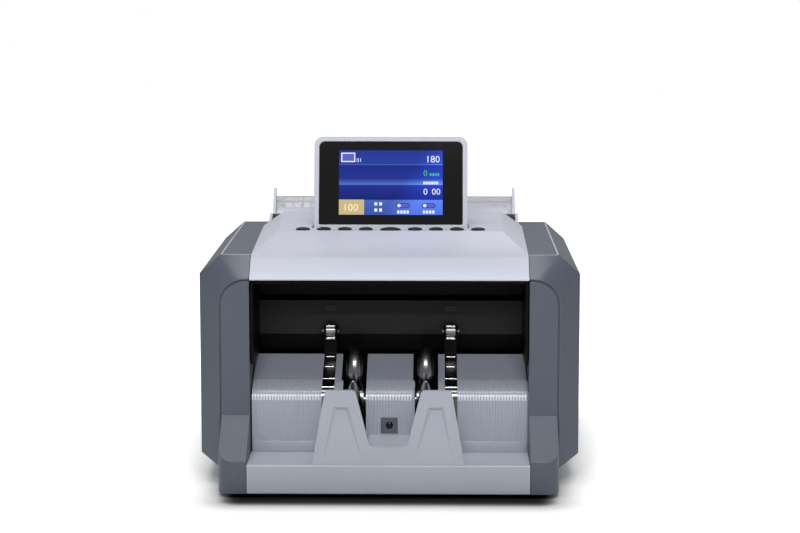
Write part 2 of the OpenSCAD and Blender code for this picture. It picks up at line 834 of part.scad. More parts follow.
module exit_guide() {
    ear_x = exit_roller_w / 2 + ear_gap + ear_t / 2;
    cheek_in = cheek_x - guide_wall;
    foot = tread_z + 1.5;
    color(black) seat() {
        guide_face();
        both() box([cheek_in, pillar_y + wall, foot], [cheek_x, exit_back, guide_top]);
        both() box([cheek_in, pillar_back + over, foot], [side_plate_x, exit_back, exit_z1]);
        box([-cheek_x, pillar_y + 2 * wall, guide_top - guide_wall], [cheek_x, exit_back, guide_top]);
        for (s = [-1, 1], e = [-1, 1])
            translate([s * roller_x + e * ear_x, 0, 0]) roller_ear();
    }
}

module exit_roller(s) {
    color(steel) seat() translate([s * roller_x, roller_y, roller_z]) difference() {
        rod_both(exit_roller_w / 2, exit_roller_r);
        rod_both(exit_roller_w, roller_pin_r + running);
    }
}

module left_exit_roller() { exit_roller(-1); }

module right_exit_roller() { exit_roller(1); }

module exit_roller_pins() {
    reach = exit_roller_w / 2 + 2 * ear_gap + 1.25 * ear_t;
    color("goldenrod") seat()
        for (x = [-roller_x, roller_x])
            translate([x, roller_y, roller_z]) rod_both(reach, roller_pin_r);
}

// Hopper: sloping floor in a tub with end walls and a shoulder at the back
module hopper_slot(x) {
    w = pickup_w / 2 + 2;
    r = pickup_r + over;
    box([x - w, pickup_y - r, pickup_z - r], [x + w, pickup_y + r, pickup_z + 2 * r]);
}

module hopper_floor() {
    skin = -wall * hopper_up;
    crest = hopper_top + 1.5 * skin;
    under = hopper_top - 2 * wall * hopper_dir + skin;
    shoulder = [rear_y + wall, deck_z - 3];
    foot = [rear_y + wall, rear_top];
    step = [rear_y - over, rear_top];
    rim = deck_z + 1;
    outer = [hopper_foot, hopper_top, crest, shoulder, foot];
    inner = [foot - [wall, 0], shoulder - [wall, 0.6 * wall], under, hopper_foot + skin];
    color(light_grey) seat() difference() {
        union() {
            along_x(-hopper_wall_x, hopper_wall_x) polygon(concat(outer, inner));
            both() along_x(hopper_wall_x - grip, half_w)
                polygon([hopper_foot + skin, step, foot, shoulder, [hopper_top[0] + wall, rim],
                    [hopper_y, rim]]);
        }
        for (x = [-rubber_x, rubber_x])
            hopper_slot(x);
        at_yz(pickup_y, pickup_z) rod_both(half_w + over, shaft_r + over);
    }
}

module hopper_back_plate() {
    plate = clear_t * hopper_up;
    sunk = 0.9 * plate;
    deep = 1.6 * plate;
    rib = 0.3 * clear_t;
    pitch = guide_x / 13.5;
    color([0.86, 0.87, 0.91, 0.6]) seat() {
        along_x(fin_in - guide_x, guide_x - fin_in)
            polygon([plate_foot - plate, plate_foot, plate_top, plate_top - plate]);
        for (i = [-12:12])
            along_x(i * pitch - rib, i * pitch + rib)
                polygon([plate_foot - deep, plate_foot - sunk, plate_top - sunk, plate_top - deep]);
    }
}

// Side guide of the hopper: plate over the slope, a shelf at its upper end and a fin on the shelf
module hopper_guide() {
    front = hopper_y + guide_t;
    low = hopper_foot + seam * hopper_up + 2.2 * guide_t * hopper_dir;
    high = plate_top + seam * hopper_up - 2 * clear_t * hopper_dir;
    back = high[0];
    shelf_y = back - 1.6 * fin_rise;
    shelf_z = high[1] - fin_rise;
    reach = (shelf_y + guide_t - low[0]) / hopper_dir[0];
    fin_z = high[1] + fin_rise;
    fin_x = guide_x - fin_in;
    color(light_grey) seat() {
        along_x(guide_x - guide_t, guide_x)
            polygon([low, low + reach * hopper_dir, [shelf_y + guide_t, shelf_z], [shelf_y, shelf_z],
                [front, shelf_z - guide_fall], [front, low[1]]]);
        along_x(fin_x - guide_t, fin_x)
            polygon([[shelf_y - guide_t, shelf_z - guide_t], [shelf_y + guide_t, shelf_z - guide_t], high,
                [back + 1, fin_z], [back - 0.3 * fin_rise, fin_z], [shelf_y, shelf_z]]);
        box([fin_x - 2 * guide_t, shelf_y - guide_t, shelf_z - guide_t],
            [guide_x, shelf_y + guide_t, shelf_z]);
    }
}

module right_hopper_guide() { hopper_guide(); }

module left_hopper_guide() { left_of() hopper_guide(); }

// Rear panel with vents, the inlet's cut-out, the switch's well and screw holes
rocker_y = rear_y - 1.5;
rocker_pin_r = 1.4;
rocker_end = 0.4;
well_wall = 1.5;
well_d = 10;
socket_d = 15;
inlet_rim = 2.5;
screw_r = 1.5;
screw_in = 8;
screw_x = half_w - screw_in;
screw_zs = [floor_top + screw_in, fascia_z - screw_in];
vent_pitch = 2.35 * vent_w;
vent_x = -half_w + 7 * vent_w;

module rocker_well(grow, back) {
    w = rocker_w / 2 + rocker_end + grow;
    h = rocker_h / 2 + 1 + grow;
    box([rocker_x - w, rear_y - well_d - grow, socket_z - h], [rocker_x + w, back, socket_z + h]);
}

module at_screws(y) {
    for (x = [-screw_x, screw_x], z = screw_zs)
        translate([x, y, z]) rotate([-90, 0, 0]) children();
}

module rear_panel() {
    back = rear_y + wall;
    front = rear_y - over;
    w = inlet_w / 2 + loose;
    h = inlet_h / 2 + loose;
    bore = rocker_w / 2 + rocker_end + 1.2;
    color(dark_grey) seat() difference() {
        union() {
            box([-half_w, rear_y, floor_top], [half_w, back, rear_top]);
            rocker_well(well_wall, back);
        }
        rocker_well(0, back + over);
        translate([rocker_x, rocker_y, socket_z]) rod_both(bore, rocker_pin_r + running);
        box([inlet_x - w, front, socket_z - h], [inlet_x + w, back + over, socket_z + h]);
        for (i = [0:vent_count - 1])
            translate([vent_x + i * vent_pitch, front, socket_z]) cube([vent_w, wall + 2 * over, vent_h]);
        at_screws(front) cylinder(h = wall + 2 * over, r = screw_r + running);
    }
}

module case_screws() {
    shank = 4 * screw_r;
    color(steel) seat() at_screws(rear_y + wall) {
        cylinder(h = 1.2 * screw_r, r = 2 * screw_r);
        translate([0, 0, -shank]) cylinder(h = shank + over, r = screw_r);
    }
}

module power_inlet() {
    w = inlet_w / 2;
    h = inlet_h / 2;
    y1 = rear_y + wall;
    sx = w - 1.5;
    sz = h - 2;
    cut = sz / 2;
    color(black) seat() translate([inlet_x, 0, socket_z]) difference() {
        union() {
            box([-w, y1 - socket_d - inlet_rim, -h], [w, y1 + over, h]);
            box([-w - inlet_rim, y1, -h - inlet_rim], [w + inlet_rim, y1 + 2, h + inlet_rim]);
        }
        along_y(y1 - socket_d, y1 + 2 + over)
            polygon([[-sx, -sz], [sx, -sz], [sx, cut], [sx - cut, sz], [cut - sx, sz], [-sx, cut]]);
    }
}

// Rocker of the power switch, tipped to one side, on two pins
module power_switch() {
    tip = 7;
    h = rocker_h / 2;
    color(black) seat() translate([rocker_x, rocker_y, socket_z]) {
        rotate([tip, 0, 0]) along_x(-rocker_w / 2, rocker_w / 2)
            polygon([[-4, -h * 0.6], [-4, h * 0.6], [4.4, h], [3.2, 0], [4.4, -h]]);
        rod_both(rocker_w / 2 + rocker_end + 1, rocker_pin_r);
    }
}

// Display, drawn upright over its hinge axis and then leaned back
module on_hinge() {
    seat() at_yz(hinge_y, hinge_z) rotate([-display_tilt, 0, 0]) children();
}

function glass_outline(grow) = let(
    x1 = glass_x + grow,
    z0 = glass_z0 - grow,
    z1 = glass_z1 + grow,
    r = display_round - 2)
    rounded([[-x1, z0], [x1, z0], [x1, z1], [-x1, z1]], [1, 1, r, r]);

module display_housing() {
    x1 = display_w / 2;
    r = display_round;
    outline = [[-x1, 0], [x1, 0], [x1, display_h], [-x1, display_h]];
    panel_x = panel_w / 2 + loose;
    panel_z = panel_lift + panel_h + loose;
    color(light_grey) on_hinge() difference() {
        union() {
            along_y(-barrel_r, barrel_r) polygon(rounded(outline, [0, 0, r, r], 8));
            rod_both(x1, barrel_r);
        }
        along_y(-barrel_r - over, -barrel_r + glass_t + running) polygon(glass_outline(glass_gap));
        box([-panel_x, -barrel_r, panel_lift - loose], [panel_x, barrel_r - display_wall, panel_z]);
        for (x = [-x1, x1])
            translate([x, 0, 0]) rod_both(pin_reach + 2, hinge_pin_r + running);
    }
}

module display_glass() {
    color(black) on_hinge() along_y(-barrel_r, -barrel_r + glass_t) polygon(glass_outline(0));
}

module display_panel() {
    x1 = panel_w / 2;
    y0 = -barrel_r + glass_t + running;
    color([0.15, 0.27, 0.70]) on_hinge()
        box([-x1, y0, panel_lift], [x1, y0 + panel_t, panel_lift + panel_h]);
}

module display_hinge_pins() {
    color(steel) seat() at_yz(hinge_y, hinge_z)
        both() rod_x(display_w / 2 - pin_reach, trough_x + wall, hinge_pin_r);
}

// Key: domed oval cap, flange under the cover and stem over its switch
module key(i) {
    w = i == 4 ? middle_key_w : key_w;
    d = i == 4 ? key_d + 1 : key_d;
    dome = w * 1.4;
    z0 = key_flange_z - key_flange_t;
    color(black) seat() translate([key_xs[i], key_y, 0]) {
        intersection() {
            translate([0, 0, z0]) oval(w, d, key_top_z - z0);
            translate([0, 0, key_top_z - dome]) sphere(r = dome, $fn = 64);
        }
        translate([0, 0, z0]) oval(w + 2 * key_flange, d - 2 * key_flange, key_flange_t);
        translate([0, 0, key_stem_z]) cylinder(h = key_stem_h + key_flange_t / 2, r = key_stem_r);
    }
}

module key_1() { key(0); }
module key_2() { key(1); }
module key_3() { key(2); }
module key_4() { key(3); }
module key_5() { key(4); }
module key_6() { key(5); }
module key_7() { key(6); }
module key_8() { key(7); }
module key_9() { key(8); }

module key_board() {
    reach = key_xs[8] + key_w;
    h = switch_w / 2;
    color(board_green) seat() {
        box([-reach, key_y - 5.25 * post_r, key_board_z], [reach, key_y + h, key_board_z + board_t]);
        for (x = key_xs)
            box([x - h, key_y - h, key_board_z + board_t / 2],
                [x + h, key_y + h, key_board_z + board_t + switch_h]);
    }
}

// Side plate of the chassis with bush holes and a flange on the floor pan
module side_plate_form(motor_side) {
    top = rear_top - over;
    edge = 0.75 * bush_r;
    front = wheel_y - bush_r - edge;
    back = rear_y - bush_r;
    low = floor_top + edge;
    flange_y = exit_back + edge;
    outline = [[front, wheel_z - 3.6 * edge], [exit_back, low], [back, low], [back, top - 3 * edge],
        [pickup_y + 2 * bush_r, top], [feed_y - 3 * bush_r, top], [exit_back, exit_z1],
        [exit_y + 2, tread_z],
        [front, tread_z - edge]];
    difference() {
        union() {
            along_x(side_plate_x, side_plate_out) polygon(outline);
            box([side_plate_x, flange_y, floor_top], [side_plate_out, back - edge, low + over]);
            box([half_w - 2 * edge, flange_y, floor_top],
                [side_plate_out, back - edge, floor_top + side_plate_t]);
        }
        for (p = shaft_spots)
            at_yz(p[0], p[1]) rod_x(side_plate_x - over, side_plate_out + over, bush_r);
        if (motor_side)
            at_yz(motor_y, motor_z) rod_x(side_plate_x - over, side_plate_out + over, rotor_r + 2);
    }
}

module right_side_plate() { color(steel) seat() side_plate_form(true); }

module left_side_plate() { color(steel) seat() left_of() side_plate_form(false); }

module tie_rods() {
    color(steel) seat()
        for (p = [[exit_back + 4.7 * rod_r, wheel_z - 6 * rod_r], [rear_y - 4 * rod_r, feed_z],
                [feed_y - 4.5 * rod_r, fascia_z - 1.5 * rod_r]])
            at_yz(p[0], p[1]) rod_both(side_plate_x, rod_r);
}

module shaft_bushes() {
    color("goldenrod") seat()
        for (p = shaft_spots)
            at_yz(p[0], p[1]) both() difference() {
                union() {
                    rod_x(bush_x0, side_plate_out, bush_r);
                    rod_x(side_plate_out, bush_x1, bush_r + bush_rim);
                }
                rod_x(bush_x0 - over, bush_x1 + over, shaft_r + running);
            }
}

// Stacker: shaft, two finned wheels and the driven pulley
module stacker_shaft() {
    color(steel) seat() at_yz(wheel_y, wheel_z) rod_x(-bush_x1 - 2, lane_x + 2 * lane + 2, shaft_r);
}

module wheel_profile() {
    w = wheel_w / 2;
    r0 = hub_r * 1.46;
    n = 10;
    rise = [for (i = [0:n]) [r0 + (wheel_r - r0) * sin(i * 90 / n), w * cos(i * 90 / n)]];
    fall = [for (i = [n:-1:0]) [r0 + (wheel_r - r0) * sin(i * 90 / n), -w * cos(i * 90 / n)]];
    rotate([0, 90, 0]) rotate_extrude($fn = 96) polygon(concat([[0, w]], rise, fall, [[0, -w]]));
}

module stacker_wheel(s) {
    color(black) seat() translate([s * wheel_x, wheel_y, wheel_z]) difference() {
        intersection() {
            union() {
                rod_both(wheel_w / 2, hub_r);
                for (i = [0:fin_count - 1])
                    rotate([90 + fin_trail + i * 360 / fin_count, 0, 0])
                        along_x(-wheel_w / 2, wheel_w / 2) polygon(fin_points());
            }
            wheel_profile();
        }
        rod_both(wheel_w, shaft_r + grip);
    }
}

module left_stacker_wheel() { stacker_wheel(-1); }

module right_stacker_wheel() { stacker_wheel(1); }

// Pulley with a rim at each side, in belt lanes first to last
module pulley(r, first, last) {
    x0 = lane_x + first * lane;
    x1 = lane_x + last * lane + belt_w;
    difference() {
        rod_x(x0, x1, r);
        rod_x(x0 - over, x1 + over, shaft_r + grip);
    }
}

module stacker_pulley() { color(black) seat() at_yz(wheel_y, wheel_z) pulley(stacker_pulley_r, 1, 1); }

module feed_shaft() {
    color(steel) seat() at_yz(feed_y, feed_z) rod_x(-disc_x - 3, lane_x + 3 * lane, shaft_r);
}

module rubber_pair(r, w) {
    for (s = [-1, 1])
        translate([s * rubber_x, 0, 0]) difference() {
            rod_both(w / 2, r);
            rod_both(w, shaft_r + grip);
        }
}

module feed_rollers() { color(rubber_grey) seat() at_yz(feed_y, feed_z) rubber_pair(feed_r, feed_w); }

module feed_pulley() { color(black) seat() at_yz(feed_y, feed_z) pulley(feed_pulley_r, 0, 2); }

module encoder_disc() {
    color([0.2, 0.2, 0.2]) seat() at_yz(feed_y, feed_z) translate([-disc_x, 0, 0]) difference() {
        union() {
            rod_x(-disc_t, 0, disc_r);
            rod_x(-2.6 * disc_t, 0, shaft_r + 3);
        }
        rod_both(6 * disc_t, shaft_r + grip);
        for (i = [0:11])
            rotate([i * 30, 0, 0]) translate([0, 0, 0.72 * disc_r]) rod_both(2 * disc_t, disc_r / 10);
    }
}

// Fork over the rim of the disc
module speed_sensor() {
    z0 = feed_z + 0.66 * disc_r;
    z1 = feed_z + disc_r + 2;
    w = disc_r / 4;
    gap = 1.5;
    arm = 2.2;
    color(black) seat() difference() {
        box([-disc_x - disc_t - gap - arm, feed_y - w, z0], [-side_plate_out, feed_y + w, z1 + arm]);
        box([-disc_x - disc_t - gap, feed_y - w - over, z0 - over], [-disc_x + gap, feed_y + w + over, z1]);
    }
}

module pickup_shaft() {
    color(steel) seat() at_yz(pickup_y, pickup_z) rod_x(-bush_x1 - 2, lane_x + 3 * lane, shaft_r);
}

module pickup_rollers() {
    color(rubber_grey) seat() at_yz(pickup_y, pickup_z) rubber_pair(pickup_r, pickup_w);
}

module pickup_pulley() { color(black) seat() at_yz(pickup_y, pickup_z) pulley(feed_pulley_r, 2, 2); }

module friction_pad() {
    x1 = rubber_x + 0.6 * feed_w;
    y1 = roof_back - wall;
    z0 = feed_z + feed_r + 0.6;
    z1 = z0 + 0.7 * feed_w;
    color([0.3, 0.2, 0.15]) seat() box([-x1, y1 - feed_w, z0], [x1, y1, z1]);
}

// Motor on the right side plate
module motor() {
    color(steel) seat() at_yz(motor_y, motor_z) difference() {
        union() {
            rod_x(side_plate_x - motor_len, side_plate_x, motor_r);
            rod_x(side_plate_x - motor_len - motor_r / 6, side_plate_x - motor_len + over, motor_r * 0.4);
        }
        rod_x(side_plate_x - 0.7 * motor_len - over, side_plate_x + over, rotor_r + running);
    }
}

module motor_rotor() {
    color(steel) seat() at_yz(motor_y, motor_z) {
        rod_x(side_plate_x - 0.7 * motor_len, lane_x + belt_w + 2, rotor_r);
        rod_x(lane_x, lane_x + belt_w, motor_pulley_r);
    }
}

module belt(a, ra, b, rb, number) {
    x0 = lane_x + number * lane;
    along_x(x0, x0 + belt_w) difference() {
        polygon(belt_loop(a, ra + belt_gap + belt_t, b, rb + belt_gap + belt_t));
        polygon(belt_loop(a, ra + belt_gap, b, rb + belt_gap));
    }
}

module drive_belts() {
    feed = [feed_y, feed_z];
    color([0.12, 0.12, 0.12]) seat() {
        belt([motor_y, motor_z], motor_pulley_r, feed, feed_pulley_r, 0);
        belt([wheel_y, wheel_z], stacker_pulley_r, feed, feed_pulley_r, 1);
        belt([pickup_y, pickup_z], feed_pulley_r, feed, feed_pulley_r, 2);
    }
}

// Sensor bars over and under the note path, the lower one with a baffle behind the stacker wheels
module sensor_bars() {
    h = 11;
    y0 = exit_back + 3;
    low = feed_z - feed_r;
    baffle_y = wheel_y + wheel_r + guide_wall;
    color(dark_grey) seat() {
        for (z = [low, feed_z + feed_r - h])
            box([-side_plate_x, y0, z], [side_plate_x, y0 + 1.2 * h, z + h]);
        box([-side_plate_x, baffle_y, floor_top + 2 * guide_wall],
            [side_plate_x, baffle_y + guide_wall, low + over]);
    }
}

module main_board() {
    x0 = side_plate_out + 3;
    x1 = x0 + board_t;
    y0 = exit_back + spacer_in;
    y1 = rear_y - motor_setback;
    z0 = floor_top + 3 * spacer_in;
    z1 = feed_z - 1.3 * disc_r;
    chip = (z1 - z0) / 3;
    color(board_green) seat() left_of() {
        box([x0, y0, z0], [x1, y1, z1]);
        for (y = [y0 + spacer_in, y1 - spacer_in], z = [z0 + spacer_in, z1 - spacer_in])
            at_yz(y, z) rod_x(side_plate_out, x1 - board_t / 2, spacer_r);
        box([x1 - board_t / 2, y0 + chip, z0 + chip], [x1 + board_t, y0 + 2 * chip, z0 + 2 * chip]);
        box([x1 - board_t / 2, y1 - 1.5 * chip, z0 + spacer_in], [x1 + chip / 3, y1 - chip / 2, z0 + chip]);
    }
}

module power_board() {
    y0 = exit_back + 6.5 * rod_r;
    y1 = rear_y - 2 * spacer_in;
    coil = (y1 - y0) / 3;
    can_r = coil / 6;
    w = 2.1 * coil;
    x0 = -w - 2 * spacer_in;
    x1 = x0 + w;
    z0 = floor_top + 3 * spacer_r;
    z1 = z0 + board_t;
    top = z1 + 0.75 * coil;
    sunk = z1 - board_t / 2;
    color(board_green) seat() {
        box([x0, y0, z0], [x1, y1, z1]);
        for (x = [x0 + spacer_in, x1 - spacer_in], y = [y0 + spacer_in, y1 - spacer_in])
            translate([x, y, floor_top]) cylinder(h = sunk - floor_top, r = spacer_r);
        box([x0 + coil / 3, y1 - 1.4 * coil, sunk], [x0 + 4 / 3 * coil, y1 - 0.4 * coil, top]);
        for (i = [2, 5])
            translate([x0 + coil / 2, y0 + i * can_r, sunk]) cylinder(h = 0.6 * coil, r = can_r);
        box([x0 + coil, y0 + can_r, sunk], [x0 + coil + 2 * board_t, y0 + coil, top]);
    }
}

base_tray();
rubber_feet();
stack_stop();
stacker_plate();
stack_sensor();
guide_strips();
left_pillar();
right_pillar();
left_side_cover();
right_side_cover();
top_cover();
exit_guide();
left_exit_roller();
right_exit_roller();
exit_roller_pins();
hopper_floor();
hopper_back_plate();
left_hopper_guide();
right_hopper_guide();
rear_panel();
case_screws();
power_inlet();
power_switch();
display_housing();
display_glass();
display_panel();
display_hinge_pins();
key_1();
key_2();
key_3();
key_4();
key_5();
key_6();
key_7();
key_8();
key_9();
key_board();
left_side_plate();
right_side_plate();
tie_rods();
shaft_bushes();
stacker_shaft();
left_stacker_wheel();
right_stacker_wheel();
stacker_pulley();
feed_shaft();
feed_rollers();
feed_pulley();
encoder_disc();
speed_sensor();
pickup_shaft();
pickup_rollers();
pickup_pulley();
friction_pad();
motor();
motor_rotor();
drive_belts();
sensor_bars();
main_board();
power_board();
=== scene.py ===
"""Looks of a desktop banknote counter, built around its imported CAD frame.

Lengths are metres, +Z is up and the note throat faces -Y.
"""

import json
import math

import bmesh
import bpy
from mathutils import Matrix, Vector

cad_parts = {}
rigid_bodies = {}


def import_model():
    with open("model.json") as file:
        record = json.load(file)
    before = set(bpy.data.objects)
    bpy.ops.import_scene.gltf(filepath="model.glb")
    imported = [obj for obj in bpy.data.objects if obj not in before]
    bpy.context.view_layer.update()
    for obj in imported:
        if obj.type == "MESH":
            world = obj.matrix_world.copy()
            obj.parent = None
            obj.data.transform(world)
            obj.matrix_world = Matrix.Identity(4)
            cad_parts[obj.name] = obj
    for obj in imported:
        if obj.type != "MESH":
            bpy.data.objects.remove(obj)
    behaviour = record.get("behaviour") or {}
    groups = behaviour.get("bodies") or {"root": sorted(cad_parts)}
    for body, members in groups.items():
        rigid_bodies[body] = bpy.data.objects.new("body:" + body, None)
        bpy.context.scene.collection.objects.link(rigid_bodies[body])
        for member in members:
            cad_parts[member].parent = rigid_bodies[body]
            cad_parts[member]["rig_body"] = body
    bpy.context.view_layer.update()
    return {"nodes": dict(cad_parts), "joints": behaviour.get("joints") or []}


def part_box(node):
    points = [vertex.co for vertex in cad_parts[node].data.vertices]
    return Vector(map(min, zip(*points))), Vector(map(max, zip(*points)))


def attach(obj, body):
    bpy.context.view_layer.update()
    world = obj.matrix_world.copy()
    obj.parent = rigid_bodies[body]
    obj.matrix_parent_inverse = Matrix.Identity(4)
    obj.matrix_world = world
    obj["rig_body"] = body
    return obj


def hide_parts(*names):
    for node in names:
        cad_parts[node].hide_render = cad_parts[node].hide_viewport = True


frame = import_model()

MM = 0.001

# Camera
LENS = 99.54
CAMERA_AT = Vector((0.03, -1.5938, 0.3628))
CAMERA_PITCH = math.radians(7.8985)
CAMERA_YAW = math.radians(0.8607)

# Painted shadow on the floor: its tone from under the machine to clear of it
PAINTED_SHADOW_TONES = [
    (0.0, 0.015),
    (0.12, 0.035),
    (0.24, 0.16),
    (0.3, 0.36),
    (0.37, 0.56),
    (0.45, 0.65),
    (0.62, 0.8),
    (1.0, 0.93),
]

# Half of the floor's footprint under the painted shadow, and how far the painted shadow's edge runs out
PAINTED_SHADOW_HALF = (0.1, 0.1333, 0)
PAINTED_SHADOW_REACH = 0.045

SIDES = (("left", -1), ("right", 1))

# Lower outer corner of each side cover: a point of its slant and the way it faces
PARED = {
    "left_side_cover": ((-0.1319, 0, 0.0209), (-0.46, 0, -0.888)),
    "right_side_cover": ((0.1319, 0, 0.0209), (0.46, 0, -0.888)),
}

# The cover's slanting wall: its thickness, how far it lies behind the cut, where it starts beside and
# behind the pillar, and the back of the pillar
SLANT_T = 2.3 * MM
SLANT_SET_BACK = 0.05 * MM
SLANT_STARTS = (("front", 116.6 * MM, 1), ("rear", 104.6 * MM, -1))
PILLAR_BACK = -75.7 * MM

# Raised line on each side cover, pale as a painted highlight on the top panel's edge: inner and outer edge,
# front and back, width, corner and height
COVER_LINE_X = (96.6 * MM, 117.2 * MM)
COVER_LINE_Y = (-76.6 * MM, 120.6 * MM)
COVER_LINE_W = 0.9 * MM
COVER_LINE_R = 4 * MM
COVER_LINE_H = 0.35 * MM

# Plate behind each pillar's seam: width, height, corner, thickness and middle
SEAM_SIZE = (20.2 * MM, 130 * MM, 1)
SEAM_R = 18.4 * MM
SEAM_T = 1 * MM
SEAM_AT = (107.5 * MM, -90.6 * MM, 80.5 * MM)

# Return of each side cover's back wall: its place across, its thickness and its outline in Y and Z
RETURN_X = 96.7 * MM
RETURN_T = 1 * MM
RETURN_OUTLINE = [
    (0.116, 0.0105),
    (0.1225, 0.0105),
    (0.1256, 0.0139),
    (0.1256, 0.1509),
    (0.1201, 0.1577),
    (0.116, 0.1577),
]

# Front and back of the throat panel, whose faces toward the front are painted lighter grey as painted light
# on the black plastic
THROAT_PANEL_Y = (-33.8 * MM, -31.2 * MM)

# Stacker plate
TREAD_ANGLE = math.radians(21)
TREAD_SLOPE = Vector((0, math.cos(TREAD_ANGLE), math.sin(TREAD_ANGLE)))
BEND_R = 8 * MM
SLOT_W = 17.6 * MM
SLOT_LIFT = 3 * MM
RIB_PITCH = 2.0 * MM
RIB_CREST = 1.2 * MM
RIB_DEPTH = 0.3 * MM
RIB_RUN = 11.5 * MM
PLATE_T = 1.6 * MM
BAND_H = 7.6 * MM
WINDOW_HALF = 5.6 * MM

# Height above which each guide strip is painted black, painted shade on its leaf up to the roller, and the
# lift of its ridges over the tread
SHADED_LEAF_Z = 83.5 * MM
RIDGE_LIFT = Vector((0, -0.3 * MM, 0.9 * MM))
# Ridges across each guide strip: way down from the tread's back edge, share of the width, radius
STRIP_RIDGES = [
    (5.5 * MM, 0.68, 0.3 * MM),
    (19.0 * MM, 0.68, 0.35 * MM),
    (35.1 * MM, 0.96, 0.3 * MM),
    (46.4 * MM, 1.0, 0.5 * MM),
]

# Stacker wheels
FIN_COUNT = 6
FIN_TRAIL = math.radians(42)
FIN_SPREAD = math.radians(88 / FIN_COUNT)
FIN_SHARES = (0.15, 0.3, 0.45, 0.6, 0.72, 0.82, 0.9, 0.95, 0.98, 0.994)
HUB_R = 13 * MM
FIN_ROOT_R = HUB_R * 0.77
FIN_WIDE_R = HUB_R * 1.46

# Hopper: slope of the back plate, and the web and lining of each guide
HOPPER_ANGLE = math.radians(42)
WEB_REACH = 9 * MM
WEB_INSET = 2.3 * MM
WEB_Y = (84.2 * MM, 85.2 * MM)
WEB_Z = (163.5 * MM, 170.5 * MM)
LINING_INSET = 2.2 * MM
LINING_T = 0.3 * MM
LINING_OUTLINE = [(0.0514, 0.134), (0.0838, 0.1625), (0.0838, 0.1683), (0.0514, 0.1615)]

# Seats in the exit guide's notches
SEAT_HALF_W = 4.2 * MM
SEAT_Y = (-32.4 * MM, -31.4 * MM)
SEAT_Z = (112.8 * MM, 118.4 * MM)

# Display
DISPLAY_TILT = math.radians(15.6)
GLASS_FRONT = 5 * MM
SCREEN_X = 36.8 * MM
SCREEN_LOW = 10.6 * MM
SCREEN_HIGH = 57.1 * MM


def paint(red, green, blue):
    """A screen colour, 0 to 255, as linear light."""

    def linear(share):
        return share / 12.92 if share <= 0.04045 else ((share + 0.055) / 1.055) ** 2.4

    return (linear(red / 255), linear(green / 255), linear(blue / 255), 1.0)


# Shader nodes


def add(tree, kind, inputs=None, **settings):
    """A node with its settings and its unlinked inputs."""
    node = tree.nodes.new(kind)
    for name, value in settings.items():
        setattr(node, name, value)
    for name, value in (inputs or {}).items():
        node.inputs[name].default_value = value
    return node


def set_ramp(node, stops):
    """Colour stops of a ramp, each a place from 0 to 1 and a linear colour."""
    elements = node.color_ramp.elements
    while len(elements) < len(stops):
        elements.new(0.5)
    for element, (at, colour) in zip(elements, stops):
        element.position = at
        element.color = colour


def shader_group(name, inputs, outputs):
    """A node group with named sockets, its start and its end."""
    tree = bpy.data.node_groups.new(name, "ShaderNodeTree")
    for label, kind, value in inputs:
        tree.interface.new_socket(label, in_out="INPUT", socket_type=kind).default_value = value
    for label, kind in outputs:
        tree.interface.new_socket(label, in_out="OUTPUT", socket_type=kind)
    return tree, add(tree, "NodeGroupInput"), add(tree, "NodeGroupOutput")


def make_moulded_skin():
    """Slightly uneven tone and fine grain, as moulded plastic and rubber have."""
    tree, start, end = shader_group(
        "moulded_skin",
        [
            ("Colour", "NodeSocketColor", (0.5, 0.5, 0.5, 1.0)),
            ("Mottle", "NodeSocketFloat", 0.03),
            ("Grain", "NodeSocketFloat", 1500.0),
        ],
        [("Colour", "NodeSocketColor"), ("Sheen", "NodeSocketFloat"), ("Height", "NodeSocketFloat")],
    )
    link = tree.links.new
    place = add(tree, "ShaderNodeTexCoord")
    cloud = add(tree, "ShaderNodeTexNoise", {"Scale": 12.0, "Detail": 3.0})
    grain = add(tree, "ShaderNodeTexNoise", {"Detail": 2.0})
    swing = add(tree, "ShaderNodeMath", {1: 0.5}, operation="SUBTRACT")
    scaled = add(tree, "ShaderNodeMath", operation="MULTIPLY")
    tone = add(tree, "ShaderNodeMath", {1: 2.0, 2: 1.0}, operation="MULTIPLY_ADD")
    toned = add(tree, "ShaderNodeVectorMath", operation="SCALE")
    link(place.outputs["Object"], cloud.inputs["Vector"])
    link(place.outputs["Object"], grain.inputs["Vector"])
    link(start.outputs["Grain"], grain.inputs["Scale"])
    link(cloud.outputs["Fac"], swing.inputs[0])
    link(swing.outputs[0], scaled.inputs[0])
    link(start.outputs["Mottle"], scaled.inputs[1])
    link(scaled.outputs[0], tone.inputs[0])
    link(start.outputs["Colour"], toned.inputs[0])
    link(tone.outputs[0], toned.inputs["Scale"])
    link(toned.outputs[0], end.inputs["Colour"])
    link(cloud.outputs["Fac"], end.inputs["Sheen"])
    link(grain.outputs["Fac"], end.inputs["Height"])
    return tree


